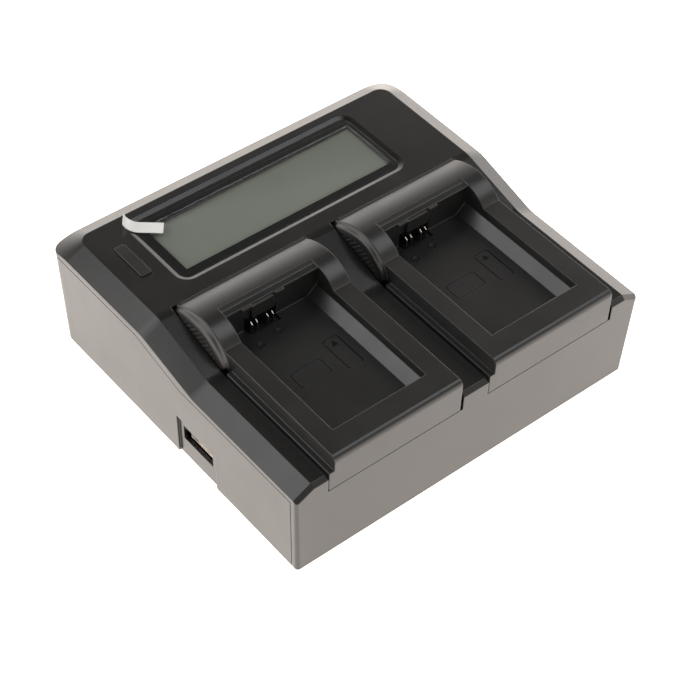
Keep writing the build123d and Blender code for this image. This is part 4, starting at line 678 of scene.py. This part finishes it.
for side, middle in PLATE_MIDDLES.items():
    body = f"{side}_plate"
    grip, fairing, ledge, marks, pips = (bmesh.new() for _ in range(5))
    grip_dots(grip, middle)
    add_piece(f"{side}_thumb_grip", grip, mark_plastic, body)
    ear_fairing(fairing, middle)
    add_piece(f"{side}_ear_fairing", fairing, plate_plastic, body)
    rear_ledge(ledge, middle)
    add_piece(f"{side}_hump_ledge", ledge, mark_plastic, body)
    for low, high in FRAMES:
        raised_frame(marks, (middle + low[0], low[1]), (middle + high[0], high[1]))
    raised_arrow(marks, (middle + ARROW_TIP[0], ARROW_TIP[1]))
    add_piece(f"{side}_seat_marks", marks, groove_shade_plastic, body)
    for x, y in PIP_SPOTS:
        ejector_pip(pips, (middle + x, y))
    add_piece(f"{side}_ejector_pips", pips, mark_plastic, body)
    low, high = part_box(f"{side}_plate_screws")
    spots = [(middle, low.y + PLATE_SCREW_HEAD[0]), (middle, high.y - PLATE_SCREW_HEAD[0])]
    screw_set(
        f"{side}_plate_cross_screws", spots, low.z, 1, PLATE_SCREW_HEAD, (PLATE_SHANK_RADIUS, high.z - low.z),
        zinc, body, f"{side}_plate_screws",
    )

# The stage: a plain pale floor lit until it is white, a room that is bright low down and dark overhead,
# and two soft level lights that the arched humps mirror.
FLOOR_REACH = 4
floor_mesh = bpy.data.meshes.new("floor")
floor_mesh.from_pydata(
    [(x * FLOOR_REACH, y * FLOOR_REACH, 0) for x, y in ((-1, -1), (1, -1), (1, 1), (-1, 1))], [], [(0, 1, 2, 3)]
)
floor = bpy.data.objects.new("floor", floor_mesh)
bpy.context.collection.objects.link(floor)
floor_paint = bpy.data.materials.new("pale floor")
floor_paint.use_nodes = True
paint = floor_paint.node_tree.nodes["Principled BSDF"].inputs
paint["Base Color"].default_value = (0.86, 0.85, 0.84, 1)
paint["Roughness"].default_value = 0.9
paint["Specular IOR Level"].default_value = 0.1
paint["Emission Color"].default_value = (1, 0.91, 0.83, 1)
paint["Emission Strength"].default_value = 1.8
floor_mesh.materials.append(floor_paint)

room = bpy.data.worlds.new("room")
bpy.context.scene.world = room
room.use_nodes = True
sky = room.node_tree
way = add_node(sky, "ShaderNodeTexCoord")
split = add_node(sky, "ShaderNodeSeparateXYZ")
ramp = add_node(sky, "ShaderNodeValToRGB")
ROOM_LIGHT = ((0.15, 2.3), (0.3, 1.8), (0.56, 0.62), (0.7, 0.25), (0.9, 0.06))
ROOM_TINT, FRONT_SHADE = (1, 0.96, 0.93), -0.17
for step, (height, light) in enumerate(ROOM_LIGHT):
    stop = ramp.color_ramp.elements[step] if step < 2 else ramp.color_ramp.elements.new(height)
    stop.position = height
    stop.color = (*(light * share for share in ROOM_TINT), 1)
front = add_node(sky, "ShaderNodeMath", {"operation": "MINIMUM"})
front.inputs[1].default_value = 0.0
shaded = add_node(sky, "ShaderNodeMath", {"operation": "MULTIPLY_ADD"})
shaded.inputs[1].default_value = FRONT_SHADE
sky.links.new(way.outputs["Generated"], split.inputs[0])
sky.links.new(split.outputs["Y"], front.inputs[0])
sky.links.new(front.outputs[0], shaded.inputs[0])
sky.links.new(split.outputs["Z"], shaded.inputs[2])
sky.links.new(shaded.outputs[0], ramp.inputs["Fac"])
sky.links.new(ramp.outputs["Color"], sky.nodes["Background"].inputs["Color"])


LIGHT_HEIGHT = 1.0


def softbox(name, middle, width, depth, turn, power):
    """A level rectangular area light above the floor."""
    lamp = bpy.data.lights.new(name, "AREA")
    lamp.shape = "RECTANGLE"
    lamp.size, lamp.size_y = width, depth
    lamp.energy = power
    holder = bpy.data.objects.new(name, lamp)
    holder.location = (*middle, LIGHT_HEIGHT)
    holder.rotation_euler = (0, 0, math.radians(turn))
    holder.visible_camera = False
    bpy.context.collection.objects.link(holder)


softbox("right softbox", (0.5, -0.27), 0.95, 0.66, 0, 4.3)
softbox("left softbox", (-1.15, 0.62), 1.5, 1.0, -29, 10.8)

# The camera: above the front left corner and turned down on the case, as in the photograph. Its place and
# its turn were fitted to the edges of the case.
CAMERA_PLACE = (-0.2975970, -0.3341506, 0.4781191)
CAMERA_TURN = (
    (0.7737177576, 0.4394642384, -0.4563244621),
    (-0.6323786072, 0.5791475495, -0.5144758624),
    (0.0381854510, 0.6866289384, 0.7260045264),
)
lens = bpy.data.cameras.new("camera")
lens.lens = 103.748
lens.sensor_width = 36.0
lens.clip_start = 0.05
camera = bpy.data.objects.new("camera", lens)
camera.matrix_world = Matrix.Translation(CAMERA_PLACE) @ Matrix(CAMERA_TURN).to_4x4()
bpy.context.collection.objects.link(camera)
bpy.context.scene.camera = camera
bpy.context.scene.view_settings.view_transform = "Standard"
